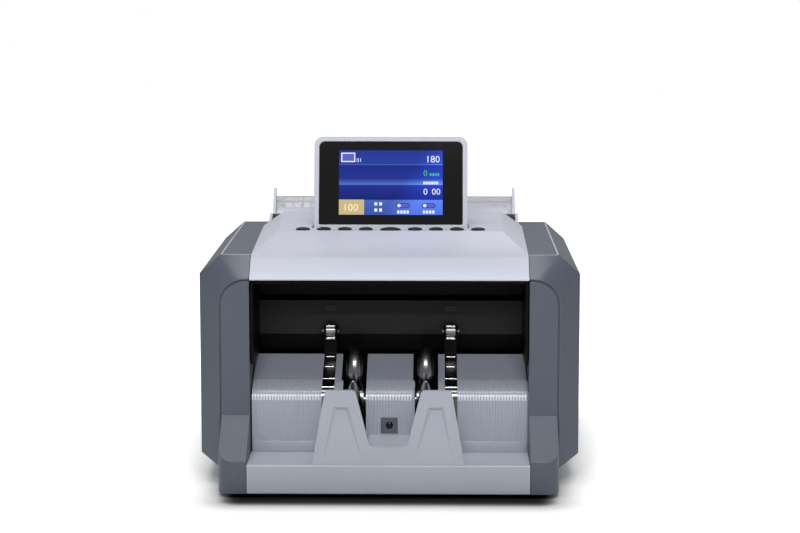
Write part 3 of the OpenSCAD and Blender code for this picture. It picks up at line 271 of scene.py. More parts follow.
def make_drawn_metal():
    """Fine lines across the machine, as drawn, turned or rolled metal has."""
    tree, start, end = shader_group(
        "drawn_metal",
        [("Colour", "NodeSocketColor", (0.7, 0.7, 0.7, 1.0)), ("Lines", "NodeSocketFloat", 900.0)],
        [("Colour", "NodeSocketColor"), ("Sheen", "NodeSocketFloat"), ("Height", "NodeSocketFloat")],
    )
    link = tree.links.new
    place = add(tree, "ShaderNodeTexCoord")
    stretch = add(tree, "ShaderNodeMapping", {"Scale": (0.04, 1.0, 1.0)})
    lines = add(tree, "ShaderNodeTexNoise", {"Detail": 3.0})
    cloud = add(tree, "ShaderNodeTexNoise", {"Scale": 30.0, "Detail": 3.0})
    tone = add(tree, "ShaderNodeMath", {1: 0.12, 2: 0.94}, operation="MULTIPLY_ADD")
    toned = add(tree, "ShaderNodeVectorMath", operation="SCALE")
    link(place.outputs["Object"], stretch.inputs["Vector"])
    link(stretch.outputs[0], lines.inputs["Vector"])
    link(start.outputs["Lines"], lines.inputs["Scale"])
    link(place.outputs["Object"], cloud.inputs["Vector"])
    link(cloud.outputs["Fac"], tone.inputs[0])
    link(start.outputs["Colour"], toned.inputs[0])
    link(tone.outputs[0], toned.inputs["Scale"])
    link(toned.outputs[0], end.inputs["Colour"])
    link(lines.outputs["Fac"], end.inputs["Sheen"])
    link(lines.outputs["Fac"], end.inputs["Height"])
    return tree


MOULDED_SKIN = make_moulded_skin()
DRAWN_METAL = make_drawn_metal()


def blank_material(name):
    """An empty material, its node tree and its shader."""
    material = bpy.data.materials.new(name)
    material.use_nodes = True
    tree = material.node_tree
    shader = tree.nodes["Principled BSDF"]
    return material, tree, shader


def skinned(name, group, colour, rough, spread, bump, settings, shader_inputs):
    """A material whose colour, roughness and bump come from one surface group."""
    material, tree, shader = blank_material(name)
    link = tree.links.new
    skin = add(tree, "ShaderNodeGroup", node_tree=group)
    skin.inputs["Colour"].default_value = colour
    for label, value in settings.items():
        skin.inputs[label].default_value = value
    sheen = add(tree, "ShaderNodeMapRange", {"To Min": rough - spread, "To Max": rough + spread})
    relief = add(tree, "ShaderNodeBump", {"Distance": bump})
    link(skin.outputs["Colour"], shader.inputs["Base Color"])
    link(skin.outputs["Sheen"], sheen.inputs["Value"])
    link(sheen.outputs[0], shader.inputs["Roughness"])
    link(skin.outputs["Height"], relief.inputs["Height"])
    link(relief.outputs[0], shader.inputs["Normal"])
    for label, value in shader_inputs.items():
        shader.inputs[label].default_value = value
    return material


def plastic(name, colour, rough, grain=1600.0, mottle=0.025, bump=0.012 * MM, **shader_inputs):
    named = {label.replace("_", " "): value for label, value in shader_inputs.items()}
    return skinned(name, MOULDED_SKIN, colour, rough, 0.05, bump, {"Mottle": mottle, "Grain": grain}, named)


def metal(name, colour, rough, lines=900.0, bump=0.002 * MM):
    return skinned(name, DRAWN_METAL, colour, rough, 0.04, bump, {"Lines": lines}, {"Metallic": 1.0})


PALE = plastic("pale_shell", paint(194, 197, 209), 0.42)
HOUSING = plastic("display_shell", paint(180, 183, 194), 0.42)
TRAY = plastic("tray_shell", paint(169, 174, 184), 0.45)
PLATE = plastic("stacker_plate", paint(166, 170, 182), 0.28, bump=0.004 * MM, Coat_Weight=0.5)
# Pale grey for the rib crests on the stacker plate's bend: a painted highlight
BEND_HIGHLIGHT_PAINT = plastic("painted_bend_highlight", paint(218, 220, 228), 0.25, bump=0.002 * MM)
# The plate's grey made darker for the smooth tread: painted shade of the tread under the throat's roof
SHADED_TREAD = plastic("stacker_tread", paint(151, 155, 168), 0.4, bump=0.004 * MM)
DARK = plastic("dark_shell", paint(82, 88, 100), 0.38)
# Pale grey of the raised lines on the side covers' panel edges: a painted highlight
COVER_EDGE_HIGHLIGHT = plastic("painted_cover_edge_highlight", paint(196, 200, 210), 0.3)
BLACK = plastic("black_moulding", paint(6, 6, 6), 0.4, Specular_IOR_Level=0.1)
# Black plastic made a lighter grey where it faces the front in the throat: painted light
LIT_BLACK = plastic("painted_light_throat_black", paint(22, 23, 25), 0.4, Specular_IOR_Level=0.3)
EYE = plastic("sensor_housing", paint(88, 91, 98), 0.4)
WEB = plastic("guide_web", paint(62, 64, 68), 0.4)
KEY = plastic("key_gloss", paint(24, 24, 26), 0.22, bump=0.003 * MM)
RUBBER = plastic("roller_rubber", paint(42, 42, 44), 0.7, grain=2600.0, bump=0.04 * MM)
CLEAR = plastic("clear_plate", paint(242, 243, 249), 0.16, bump=0.004 * MM, Transmission_Weight=0.7)
LINE = plastic("clear_lines", paint(140, 142, 156), 0.3)
GLASS = plastic("screen_glass", paint(10, 10, 11), 0.07, bump=0.001 * MM, Specular_IOR_Level=0.4)
BOARD = plastic("circuit_board", paint(28, 84, 52), 0.3, mottle=0.2)
PAD = plastic("friction_pad", paint(84, 58, 44), 0.7, grain=2400.0, bump=0.03 * MM)
CHROME = metal("chrome", (0.82, 0.82, 0.84, 1.0), 0.07, bump=0.0005 * MM)
SPRING = metal("spring_steel", (0.2, 0.19, 0.19, 1.0), 0.22, bump=0.001 * MM)
WHEEL = metal("polished_black", (0.2, 0.2, 0.205, 1.0), 0.26, bump=0.0005 * MM)
ROLLER = metal("ribbed_steel", (0.3, 0.3, 0.3, 1.0), 0.3, bump=0.003 * MM)
STEEL = metal("plated_steel", (0.62, 0.63, 0.65, 1.0), 0.3)
BRASS = metal("brass", (0.4, 0.29, 0.14, 1.0), 0.35)


# Meshes


def vertices(geom):
    return [item for item in geom if isinstance(item, bmesh.types.BMVert)]


def from_node(node):
    """A CAD node's surface, merged, with its flat faces whole again."""
    bm = bmesh.new()
    bm.from_mesh(frame["nodes"][node].data)
    bmesh.ops.remove_doubles(bm, verts=bm.verts, dist=0.02 * MM)
    bmesh.ops.dissolve_limit(bm, angle_limit=math.radians(0.4), verts=bm.verts, edges=bm.edges)
    return bm


def ease_edges(bm, width, turn=28, fold=90, segments=3):
    """Rounds each edge that turns by more than an angle, and each long fold that turns by less."""
    worked = []
    for edge in bm.edges:
        if len(edge.link_faces) == 2:
            bent = math.degrees(edge.calc_face_angle())
            if turn < bent < 120 or (fold < bent < 120 and edge.calc_length() > 10 * MM):
                worked.append(edge)
    bmesh.ops.bevel(
        bm,
        geom=worked,
        offset=width,
        offset_type="OFFSET",
        affect="EDGES",
        segments=segments,
        profile=0.5,
        material=-1,
        clamp_overlap=True,
    )


def piece(name, bm, material, body, turn=35):
    """A finished mesh that moves with its CAD body."""
    for face in bm.faces:
        face.smooth = True
    mesh = bpy.data.meshes.new(name)
    bm.to_mesh(mesh)
    bm.free()
    mesh.set_sharp_from_angle(angle=math.radians(turn))
    mesh.materials.append(material)
    made = bpy.data.objects.new(name, mesh)
    bpy.context.scene.collection.objects.link(made)
    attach(made, body)
    return made


def flat_face(bm, corners):
    """A flat face through its corners."""
    bm.faces.new([bm.verts.new(corner) for corner in corners])


def round_corners(bm, corners, radius, segments):
    """Rounds corners of a flat face."""
    bmesh.ops.bevel(
        bm,
        geom=corners,
        offset=radius,
        offset_type="OFFSET",
        affect="VERTICES",
        segments=segments,
        profile=0.5,
        material=-1,
    )


def thicken(bm, step):
    """Carries flat faces along a step, which makes them a solid."""
    made = bmesh.ops.extrude_face_region(bm, geom=bm.faces[:])["geom"]
    bmesh.ops.translate(bm, verts=vertices(made), vec=step)
    bmesh.ops.recalc_face_normals(bm, faces=bm.faces)


def pare(bm, at, facing):
    """Takes off what lies outside a plane and closes the cut."""
    whole = bm.verts[:] + bm.edges[:] + bm.faces[:]
    made = bmesh.ops.bisect_plane(bm, geom=whole, plane_co=at, plane_no=facing, clear_outer=True)
    rim = [e for e in made["geom_cut"] if isinstance(e, bmesh.types.BMEdge)]
    bmesh.ops.holes_fill(bm, edges=rim, sides=0)
    bmesh.ops.recalc_face_normals(bm, faces=bm.faces)


def moulding(node, material, edge, fold=90):
    """A CAD node with its edges eased, which stands for the node."""
    bm = from_node(node)
    if node in PARED:
        pare(bm, *PARED[node])
    if edge > 0:
        ease_edges(bm, edge, fold=fold)
    made = piece(node + "_moulding", bm, material, frame["nodes"][node]["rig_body"])
    flat = made.modifiers.new("flat_faces", "WEIGHTED_NORMAL")
    flat.keep_sharp = True
    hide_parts(node)
    return made


def dress(node, material):
    """Finish for a CAD node that is shown as it is."""
    data = frame["nodes"][node].data
    data.materials.clear()
    data.materials.append(material)


# Stage


def make_camera():
    camera = bpy.data.objects.new("camera", bpy.data.cameras.new("camera"))
    camera.data.lens = LENS
    camera.data.sensor_width = 36
    level = math.cos(CAMERA_PITCH)
    ahead = Vector((-math.sin(CAMERA_YAW) * level, math.cos(CAMERA_YAW) * level, -math.sin(CAMERA_PITCH)))
    camera.location = CAMERA_AT
    camera.rotation_euler = ahead.to_track_quat("-Z", "Y").to_euler()
    bpy.context.scene.collection.objects.link(camera)
    bpy.context.scene.camera = camera


def softbox(name, place, aim, size, power):
    lamp = bpy.data.lights.new(name, "AREA")
    lamp.shape = "RECTANGLE"
    lamp.size, lamp.size_y = size
    lamp.energy = power
    box = bpy.data.objects.new(name, lamp)
    box.location = place
    box.rotation_euler = (Vector(aim) - Vector(place)).to_track_quat("-Z", "Y").to_euler()
    bpy.context.scene.collection.objects.link(box)


def make_world():
    world = bpy.data.worlds.new("studio")
    world.use_nodes = True
    tree = world.node_tree
    tree.nodes.clear()
    link = tree.links.new
    path = add(tree, "ShaderNodeLightPath")
    seen = add(tree, "ShaderNodeBackground", {"Color": (1, 1, 1, 1), "Strength": 1.0})
    fill = add(tree, "ShaderNodeBackground", {"Color": (0.96, 0.98, 1.0, 1)})
    way = add(tree, "ShaderNodeTexCoord")
    axes = add(tree, "ShaderNodeSeparateXYZ")
    dome = add(tree, "ShaderNodeMapRange", {"From Min": 0.2, "From Max": 0.8, "To Min": 0.46})
    dome.inputs["To Max"].default_value = 0.0
    mix = add(tree, "ShaderNodeMixShader")
    out = add(tree, "ShaderNodeOutputWorld")
    link(way.outputs["Generated"], axes.inputs[0])
    link(axes.outputs["Z"], dome.inputs["Value"])
    link(dome.outputs[0], fill.inputs["Strength"])
    link(path.outputs["Is Camera Ray"], mix.inputs[0])
    link(fill.outputs[0], mix.inputs[1])
    link(seen.outputs[0], mix.inputs[2])
    link(mix.outputs[0], out.inputs["Surface"])
    bpy.context.scene.world = world


def make_floor():
    """White floor that keeps the machine's shadow from the lamps and runs into the white background; a
    painted shadow darkens its colour round the machine's footprint.
    """
    bm = bmesh.new()
    bmesh.ops.create_grid(bm, x_segments=1, y_segments=1, size=4.0)
    mesh = bpy.data.meshes.new("floor")
    bm.to_mesh(mesh)
    bm.free()
    floor = bpy.data.objects.new("floor", mesh)
    bpy.context.scene.collection.objects.link(floor)
    material, tree, shader = blank_material("studio_floor")
    link = tree.links.new
    shader.inputs["Roughness"].default_value = 0.9
    shader.inputs["Specular IOR Level"].default_value = 0.0
    shader.inputs["Emission Color"].default_value = (1, 1, 1, 1)
    place = add(tree, "ShaderNodeTexCoord")
    mirrored = add(tree, "ShaderNodeVectorMath", operation="ABSOLUTE")
    beyond = add(tree, "ShaderNodeVectorMath", {1: PAINTED_SHADOW_HALF}, operation="SUBTRACT")
    outside = add(tree, "ShaderNodeVectorMath", {1: (0, 0, 0)}, operation="MAXIMUM")
    away = add(tree, "ShaderNodeVectorMath", operation="LENGTH")
    share = add(tree, "ShaderNodeMapRange", {"From Max": PAINTED_SHADOW_REACH})
    # Painted shadow: the floor's colour darkens towards the machine's footprint
    tone = add(tree, "ShaderNodeValToRGB")
    set_ramp(tone, [(at, (grey, grey, grey, 1)) for at, grey in PAINTED_SHADOW_TONES])
    fade = add(tree, "ShaderNodeMapRange", {"From Min": 0.008, "From Max": 0.11, "To Max": 1.0})
    path = add(tree, "ShaderNodeLightPath")
    lift = add(tree, "ShaderNodeMath", operation="MULTIPLY")
    link(place.outputs["Object"], mirrored.inputs[0])
    link(mirrored.outputs[0], beyond.inputs[0])
    link(beyond.outputs[0], outside.inputs[0])
    link(outside.outputs[0], away.inputs[0])
    link(away.outputs["Value"], share.inputs["Value"])
    link(share.outputs[0], tone.inputs["Fac"])
    link(away.outputs["Value"], fade.inputs["Value"])
    link(tone.outputs["Color"], shader.inputs["Base Color"])
    link(fade.outputs[0], lift.inputs[0])
    link(path.outputs["Is Camera Ray"], lift.inputs[1])
    link(lift.outputs[0], shader.inputs["Emission Strength"])
    mesh.materials.append(material)


bpy.context.scene.view_settings.view_transform = "Standard"
make_camera()
make_world()
make_floor()
softbox("front_light", (0.0, -1.6, 1.35), (0, 0, 0.12), (0.9, 0.42), 19.0)
softbox("high_light", (-0.05, -0.3, 1.65), (0, 0, 0.12), (1.2, 0.6), 13.0)
softbox("back_light", (0.0, 0.9, 1.3), (0, 0, 0.12), (1.4, 0.6), 4.0)


# Shells

FOLDS = {"top_cover": 7, "base_tray": 7}
EASED_SHELLS = [
    ("base_tray", TRAY, "tray_plastic", 0.5 * MM),
    ("stack_stop", TRAY, "tray_plastic", 0.6 * MM),
    ("top_cover", PALE, "light_plastic", 0.6 * MM),
    ("left_pillar", DARK, "dark_plastic", 0.6 * MM),
    ("right_pillar", DARK, "dark_plastic", 0.6 * MM),
    ("left_side_cover", DARK, "dark_plastic", 0.5 * MM),
    ("right_side_cover", DARK, "dark_plastic", 0.5 * MM),
    ("rear_panel", DARK, "dark_plastic", 0.3 * MM),
    ("hopper_floor", PALE, "light_plastic", 0.4 * MM),
    ("left_hopper_guide", PALE, "light_plastic", 0.4 * MM),
    ("right_hopper_guide", PALE, "light_plastic", 0.4 * MM),
    ("hopper_back_plate", CLEAR, "clear_plastic", 0.0),
    ("display_housing", HOUSING, "light_plastic", 0.8 * MM),
    ("display_glass", GLASS, "screen_glass", 0.15 * MM),
    ("stack_sensor", EYE, "dark_plastic", 0.2 * MM),
    ("power_inlet", BLACK, "black_plastic", 0.3 * MM),
    ("power_switch", BLACK, "gloss_black", 0.3 * MM),
]
for node, material, slot, edge in EASED_SHELLS:
    moulding(node, material, edge, FOLDS.get(node, 90))


def make_exit_guide():
    """Black throat whose faces toward the front behind the exit rollers are painted a lighter grey: painted
    light on the black plastic.
    """
    made = moulding("exit_guide", BLACK, 0.3 * MM)
    made.data.materials.append(LIT_BLACK)
    for face in made.data.polygons:
        if face.normal.y < -0.9 and THROAT_PANEL_Y[0] < face.center.y < THROAT_PANEL_Y[1]:
            face.material_index = 1


def make_cover_lines():
    """Raised pale line along the front and outer edges of each side cover's top panel: a painted highlight
    where the panel's edge catches the light.
    """
    front, back = COVER_LINE_Y
    for side, sign in SIDES:
        inner, outer = sign * COVER_LINE_X[0], sign * COVER_LINE_X[1]
        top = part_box(side + "_side_cover")[1].z - 0.1 * MM
        bm = bmesh.new()
        flat_face(bm, [(inner, back, top), (inner, front, top), (outer, front, top), (outer, back, top)])
        corner = min(bm.verts, key=lambda v: v.co.y - abs(v.co.x))
        round_corners(bm, [corner], COVER_LINE_R, 8)
        bmesh.ops.inset_region(
            bm, faces=bm.faces[:], thickness=COVER_LINE_W, use_even_offset=True, use_boundary=True
        )
        spare = [
            f
            for f in bm.faces
            if len(f.verts) > 4
            or max(abs(v.co.x) for v in f.verts) < COVER_LINE_X[0] + 2 * COVER_LINE_W
            or f.calc_center_median().y > back - 5 * MM
        ]
        bmesh.ops.delete(bm, geom=spare, context="FACES")
        thicken(bm, (0, 0, COVER_LINE_H))
        piece(side + "_cover_line", bm, COVER_EDGE_HIGHLIGHT, "root")


def make_pillar_seams():
    """Shadow gap round each pillar, closed a little behind the face of the side cover."""
    upright = Matrix.Rotation(math.pi / 2, 3, "X")
    x, y, z = SEAM_AT
    for side, sign in SIDES:
        bm = bmesh.new()
        bmesh.ops.create_grid(bm, x_segments=1, y_segments=1, size=0.5)
        bmesh.ops.scale(bm, vec=SEAM_SIZE, verts=bm.verts)
        crown = max(bm.verts, key=lambda v: v.co.y + sign * v.co.x)
        round_corners(bm, [crown], SEAM_R, 16)
        thicken(bm, (0, 0, -SEAM_T))
        bmesh.ops.rotate(bm, verts=bm.verts, cent=(0, 0, 0), matrix=upright)
        bmesh.ops.translate(bm, verts=bm.verts, vec=(sign * x, y, z))
        piece(side + "_pillar_seam", bm, DARK, "root")


def make_cover_returns():
    """Return of each side cover's back wall, which closes the seam along the rear panel."""
    for side, sign in SIDES:
        bm = bmesh.new()
        flat_face(bm, [(sign * RETURN_X, y, z) for y, z in RETURN_OUTLINE])
        thicken(bm, (sign * RETURN_T, 0, 0))
        piece(side + "_cover_return", bm, DARK, "root")


def make_cover_slants():
    """Slanting lower wall of each side cover, cut from its outer form beside and behind the pillar."""
    for side, sign in SIDES:
        node = side + "_side_cover"
        at, facing = Vector(PARED[node][0]), Vector(PARED[node][1])
        for name, inner, end in SLANT_STARTS:
            bm = bmesh.new()
            bm.from_mesh(frame["nodes"][node].data)
            bmesh.ops.delete(bm, geom=bm.edges[:] + bm.faces[:], context="EDGES_FACES")
            hull = bmesh.ops.convex_hull(bm, input=bm.verts[:])
            spare = set(vertices(hull["geom_interior"] + hull["geom_unused"]))
            bmesh.ops.delete(bm, geom=list(spare), context="VERTS")
            pare(bm, at - facing * SLANT_SET_BACK, facing)
            pare(bm, at - facing * SLANT_T, -facing)
            pare(bm, (sign * inner, 0, 0), (-sign, 0, 0))
            pare(bm, (0, PILLAR_BACK, 0), (0, end, 0))
            middle = sum((v.co for v in bm.verts), Vector()) / len(bm.verts)
            bmesh.ops.scale(bm, vec=(0.996, 0.996, 1), space=Matrix.Translation(-middle), verts=bm.verts)
            piece("%s_cover_%s_slant" % (side, name), bm, DARK, "root")


make_exit_guide()
make_cover_lines()
make_pillar_seams()
make_cover_returns()
make_cover_slants()

ROUND_PIECES = [
    ("left_exit_roller", ROLLER, "steel"),
    ("right_exit_roller", ROLLER, "steel"),
    ("exit_roller_pins", BRASS, "brass"),
    ("rubber_feet", RUBBER, "rubber"),
    ("pickup_rollers", RUBBER, "rubber"),
    ("feed_rollers", RUBBER, "rubber"),
    ("case_screws", STEEL, "steel"),
]
for node, material, slot in ROUND_PIECES:
    moulding(node, material, 0)
for number in range(1, 10):
    moulding("key_%d" % number, KEY, 0.25 * MM)

PLAIN_PIECES = [
    (STEEL, ["display_hinge_pins", "left_side_plate", "right_side_plate", "tie_rods", "stacker_shaft"]),
    (STEEL, ["feed_shaft", "pickup_shaft", "motor", "motor_rotor"]),
    (BRASS, ["shaft_bushes"]),
    (BOARD, ["key_board", "main_board", "power_board"]),
    (BLACK, ["stacker_pulley", "feed_pulley", "pickup_pulley", "encoder_disc", "speed_sensor"]),
    (BLACK, ["sensor_bars", "display_panel"]),
    (RUBBER, ["drive_belts"]),
    (PAD, ["friction_pad"]),
]
for material, nodes in PLAIN_PIECES:
    for node in nodes:
        dress(node, material)


# Stacker plate


def extrude_row(bm, edges, step):
    """Carries a row of edges along a straight step and returns the new row."""
    made = bmesh.ops.extrude_edge_only(bm, edges=edges)["geom"]
    moved = set(vertices(made))
    bmesh.ops.translate(bm, verts=list(moved), vec=step)
    return [e for e in bm.edges if e.verts[0] in moved and e.verts[1] in moved]


def rib_row(bm, x0, x1, y, z):
    """One row of edges across the plate, in and out of every groove."""
    count = round((x1 - x0) / RIB_PITCH)
    pitch = (x1 - x0) / count
    groove = (pitch - RIB_CREST) / 4
    points = []
    for i in range(count):
        left = x0 + i * pitch
        points += [(left, 0), (left + RIB_CREST, 0)]
        points += [(left + RIB_CREST + groove, RIB_DEPTH), (left + RIB_CREST + 3 * groove, RIB_DEPTH)]
    points.append((x1, 0))
    row = [bm.verts.new((x, y + depth, z)) for x, depth in points]
    return [bm.edges.new(pair) for pair in zip(row, row[1:])]


def sheet(name, bm, material):
    """Turns an open surface of the plate outwards and gives it its thickness inwards. Rib crests on the
    bend that face up and forward get a painted highlight.
    """
    bmesh.ops.recalc_face_normals(bm, faces=bm.faces)
    lowest = min(bm.faces, key=lambda f: f.calc_center_median().y)
    if lowest.normal.z - lowest.normal.y < 0:
        bmesh.ops.reverse_faces(bm, faces=bm.faces)
    # Painted highlight: rib crests on the bend, facing up and forward, take the lighter bend colour
    painted_highlight_centres = set()
    for face in bm.faces:
        places = [v.co.x for v in face.verts]
        crest = max(places) - min(places) > RIB_CREST / 2
        if material is PLATE and crest and 0.01 < face.normal.z < 0.48:
            painted_highlight_centres.add(tuple(face.calc_center_median()))
    bmesh.ops.solidify(bm, geom=bm.faces[:], thickness=PLATE_T)
    for face in bm.faces:
        face.material_index = 1 if tuple(face.calc_center_median()) in painted_highlight_centres else 0
    made = piece(name, bm, material, "root", turn=40)
    made.data.materials.append(BEND_HIGHLIGHT_PAINT)
    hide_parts("stacker_plate")


def block(name, low, high, edge, material, body):
    """A box between two corners with eased edges."""
    bm = bmesh.new()
    bmesh.ops.create_cube(bm, size=1)
    low, high = Vector(low), Vector(high)
    bmesh.ops.scale(bm, vec=high - low, verts=bm.verts)
    bmesh.ops.translate(bm, vec=(low + high) / 2, verts=bm.verts)
    ease_edges(bm, edge)
    return piece(name, bm, material, body)


def plate_form():
    """Box, window, bend and tread of the stacker plate, from the CAD boxes."""
    low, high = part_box("stacker_plate")
    sensor_low, sensor_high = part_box("stack_sensor")
    bend = math.pi / 2 - TREAD_ANGLE
    corner_z = high.z - (high.y - low.y) * math.tan(TREAD_ANGLE)
    return {
        "low": low,
        "high": high,
        "window_z": (sensor_low.z + sensor_high.z) / 2,
        "bend": bend,
        "bend_z": corner_z - BEND_R * math.tan(bend / 2),
        "tread": (high.y - low.y) / math.cos(TREAD_ANGLE) - BEND_R * math.tan(bend / 2),
    }


def make_riser(side, x0, x1, form):
    """Ribbed riser and bend of one span, with the sensor's window left open."""
    low, window_z = form["low"], form["window_z"]
    bm = bmesh.new()
    row = rib_row(bm, x0, x1, low.y, low.z)
    z = low.z
    for stop in (window_z - WINDOW_HALF, window_z + WINDOW_HALF, form["bend_z"]):
        row = extrude_row(bm, row, (0, 0, stop - z))
        z = stop
    turned = bmesh.ops.spin(
        bm,
        geom=row + list(dict.fromkeys(v for e in row for v in e.verts)),
        cent=(0, low.y + BEND_R, form["bend_z"]),
        axis=(1, 0, 0),
        angle=-form["bend"],
        steps=12,
        use_merge=False,
    )
    row = [e for e in turned["geom_last"] if isinstance(e, bmesh.types.BMEdge)]
    extrude_row(bm, row, TREAD_SLOPE * RIB_RUN)
    hidden = []
    for face in bm.faces:
        middle = face.calc_center_median()
        in_window = abs(middle.x) < WINDOW_HALF and abs(middle.z - window_z) < WINDOW_HALF * 0.9
        if in_window and middle.y < low.y + 1 * MM:
            hidden.append(face)
    bmesh.ops.delete(bm, geom=hidden, context="FACES")
    sheet("stacker_plate_" + side, bm, PLATE)


def make_tread(side, x0, x1, form):
    """Smooth tread of one span, from the ribs to the back edge."""
    run = TREAD_SLOPE * (form["tread"] - RIB_RUN)
    front = Vector((0, form["high"].y, form["high"].z)) - run
    bm = bmesh.new()
    ends = [bm.verts.new((x, front.y, front.z)) for x in (x0, x1)]
    extrude_row(bm, [bm.edges.new(ends)], run)
    sheet("stacker_tread_" + side, bm, SHADED_TREAD)


def make_plate_foot(name, x0, x1, front, height, form):
    """Plain band along the plate's foot."""
    low = form["low"]
    foot_low, foot_high = (x0, front, low.z), (x1, low.y + PLATE_T, low.z + height)
    block(name, foot_low, foot_high, 0.3 * MM, PLATE, "root")


def make_stacker_plate():
    """Three spans of riser, bend and tread, parted by the two wheel slots."""
    form = plate_form()
    low, high = form["low"], form["high"]
    wheel_low, wheel_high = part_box("right_stacker_wheel")
    wheel_x = (wheel_low.x + wheel_high.x) / 2
    inner, outer = wheel_x - SLOT_W / 2, wheel_x + SLOT_W / 2
    spans = {"left": (low.x, -outer), "middle": (-inner, inner), "right": (outer, high.x)}
    for side, (x0, x1) in spans.items():
        make_riser(side, x0, x1, form)
        make_tread(side, x0, x1, form)
        make_plate_foot("stacker_plate_foot_" + side, x0, x1, low.y - 0.3 * MM, BAND_H, form)
    for side, sign in SIDES:
        x = sign * wheel_x
        name = "stacker_slot_foot_" + side
        make_plate_foot(name, x - SLOT_W / 2, x + SLOT_W / 2, low.y, SLOT_LIFT, form)


def fin_ring(ring, share, radius, half_w, turn):
    """Places a unit ring as the fin's section at a share of the way from the hub to the rim."""
    r = FIN_ROOT_R + (radius - FIN_ROOT_R) * share
    angle = turn - FIN_TRAIL * share**1.4
    flat = max(0.0, (r - FIN_WIDE_R) / (radius - FIN_WIDE_R))
    wide = half_w * math.sqrt(max(0.0, 1 - flat**2))
    thick = r * math.tan(FIN_SPREAD * (1 - share**2.2))
    across = Vector((0, -math.sin(angle), math.cos(angle)))
    along = Vector((0, math.cos(angle), math.sin(angle)))
    frame_of = Matrix((Vector((1, 0, 0)) * wide, across * thick, along * r)).transposed()
    for vert, (x, y) in ring:
        vert.co = frame_of @ Vector((x, y, 1))


def make_stacker_wheel(side):
    """Hub with curved fins of oval section that taper to a rounded tip."""
    node = side + "_stacker_wheel"
    low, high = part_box(node)
    half_w = (high.x - low.x) / 2
    axis = Vector(next(j["pos_m"] for j in frame["joints"] if j["name"] == "stacker_spin"))
    radius = (high.z - low.z) / 2
    bm = bmesh.new()
    for i in range(FIN_COUNT):
        turn = math.pi / 2 + FIN_TRAIL + 2 * math.pi * i / FIN_COUNT
        circle = bmesh.ops.create_circle(bm, segments=20, radius=1)["verts"]
        ring = [(v, (v.co.x, v.co.y)) for v in circle]
        fin_ring(ring, 0.0, radius, half_w, turn)
        edges = list(dict.fromkeys(e for v in circle for e in v.link_edges))
        for share in FIN_SHARES:
            made = bmesh.ops.extrude_edge_only(bm, edges=edges)["geom"]
            fresh = vertices(made)
            held = {tuple(v.co): shape for v, shape in ring}
            ring = [(v, held[tuple(v.co)]) for v in fresh]
            fin_ring(ring, share, radius, half_w, turn)
            moved = set(fresh)
            edges = [e for e in bm.edges if e.verts[0] in moved and e.verts[1] in moved]
        tip = sum((v.co for v, shape in ring), Vector()) / len(ring)
        bmesh.ops.pointmerge(bm, verts=[v for v, shape in ring], merge_co=tip)
    hub = bmesh.ops.create_cone(
        bm, segments=48, radius1=HUB_R, radius2=HUB_R, depth=2 * half_w, cap_ends=True
    )["verts"]
    bmesh.ops.rotate(bm, verts=hub, cent=(0, 0, 0), matrix=Matrix.Rotation(math.pi / 2, 3, "Y"))
    bmesh.ops.recalc_face_normals(bm, faces=bm.faces)
    bmesh.ops.translate(bm, verts=bm.verts, vec=((low.x + high.x) / 2, axis.y, axis.z))
    made = piece(node + "_finned", bm, WHEEL, "stacker_rotor", turn=50)
    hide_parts(node)


def make_sensor_eye():
    """Dark lens in the middle of the stack sensor."""
    low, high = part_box("stack_sensor")
    bm = bmesh.new()
    bmesh.ops.create_uvsphere(bm, u_segments=24, v_segments=12, radius=2.4 * MM)
    bmesh.ops.scale(bm, vec=(1, 0.5, 1), verts=bm.verts)
    bmesh.ops.translate(bm, vec=(0, low.y + 0.9 * MM, (low.z + high.z) / 2), verts=bm.verts)
    piece("stack_sensor_eye", bm, GLASS, "root")


def make_guide_strips():
    """Spring strips over the plate: polished ridges across, and a leaf up to each roller painted black as
    painted shade.
    """
    bm = from_node("guide_strips")
    made = piece("guide_strips_bent", bm, SPRING, "root")
    # Painted shade: the strip's leaf above its set height takes black
    made.data.materials.append(BLACK)
    for face in made.data.polygons:
        if face.center.z > SHADED_LEAF_Z:
            face.material_index = 1
    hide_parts("guide_strips")
    strip_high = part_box("guide_strips")[1]
    plate_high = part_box("stacker_plate")[1]
    roller_low, roller_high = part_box("right_exit_roller")
    middle = (roller_low.x + roller_high.x) / 2
    half = strip_high.x - middle
    lying = Matrix.Rotation(math.pi / 2, 3, "Y")
    top = Vector((0, plate_high.y, plate_high.z))
    for side, sign in SIDES:
        for i, (back, wide, thick) in enumerate(STRIP_RIDGES):
            bm = bmesh.new()
            bmesh.ops.create_cone(
                bm, segments=16, radius1=thick, radius2=thick, depth=2 * half * wide, cap_ends=True
            )
            bmesh.ops.rotate(bm, verts=bm.verts, cent=(0, 0, 0), matrix=lying)
            at = top - TREAD_SLOPE * back + RIDGE_LIFT + Vector((sign * middle, 0, 0))
            bmesh.ops.translate(bm, verts=bm.verts, vec=at)
            piece("%s_strip_ridge_%d" % (side, i), bm, CHROME, "root")


def make_roller_lips():
    """Polished lips of the clip that holds each exit roller, above and below it."""
    for side in ("left", "right"):
        low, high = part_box(side + "_exit_roller")
        for name, z in (("upper", high.z - 0.4 * MM), ("lower", low.z - 0.6 * MM)):
            block(
                "%s_roller_%s_lip" % (side, name),
                (low.x - 0.1 * MM, low.y + 0.6 * MM, z - 0.5 * MM),
                (high.x + 0.1 * MM, low.y + 4.0 * MM, z + 0.9 * MM),
                0.25 * MM,
                CHROME,
                "root",
            )


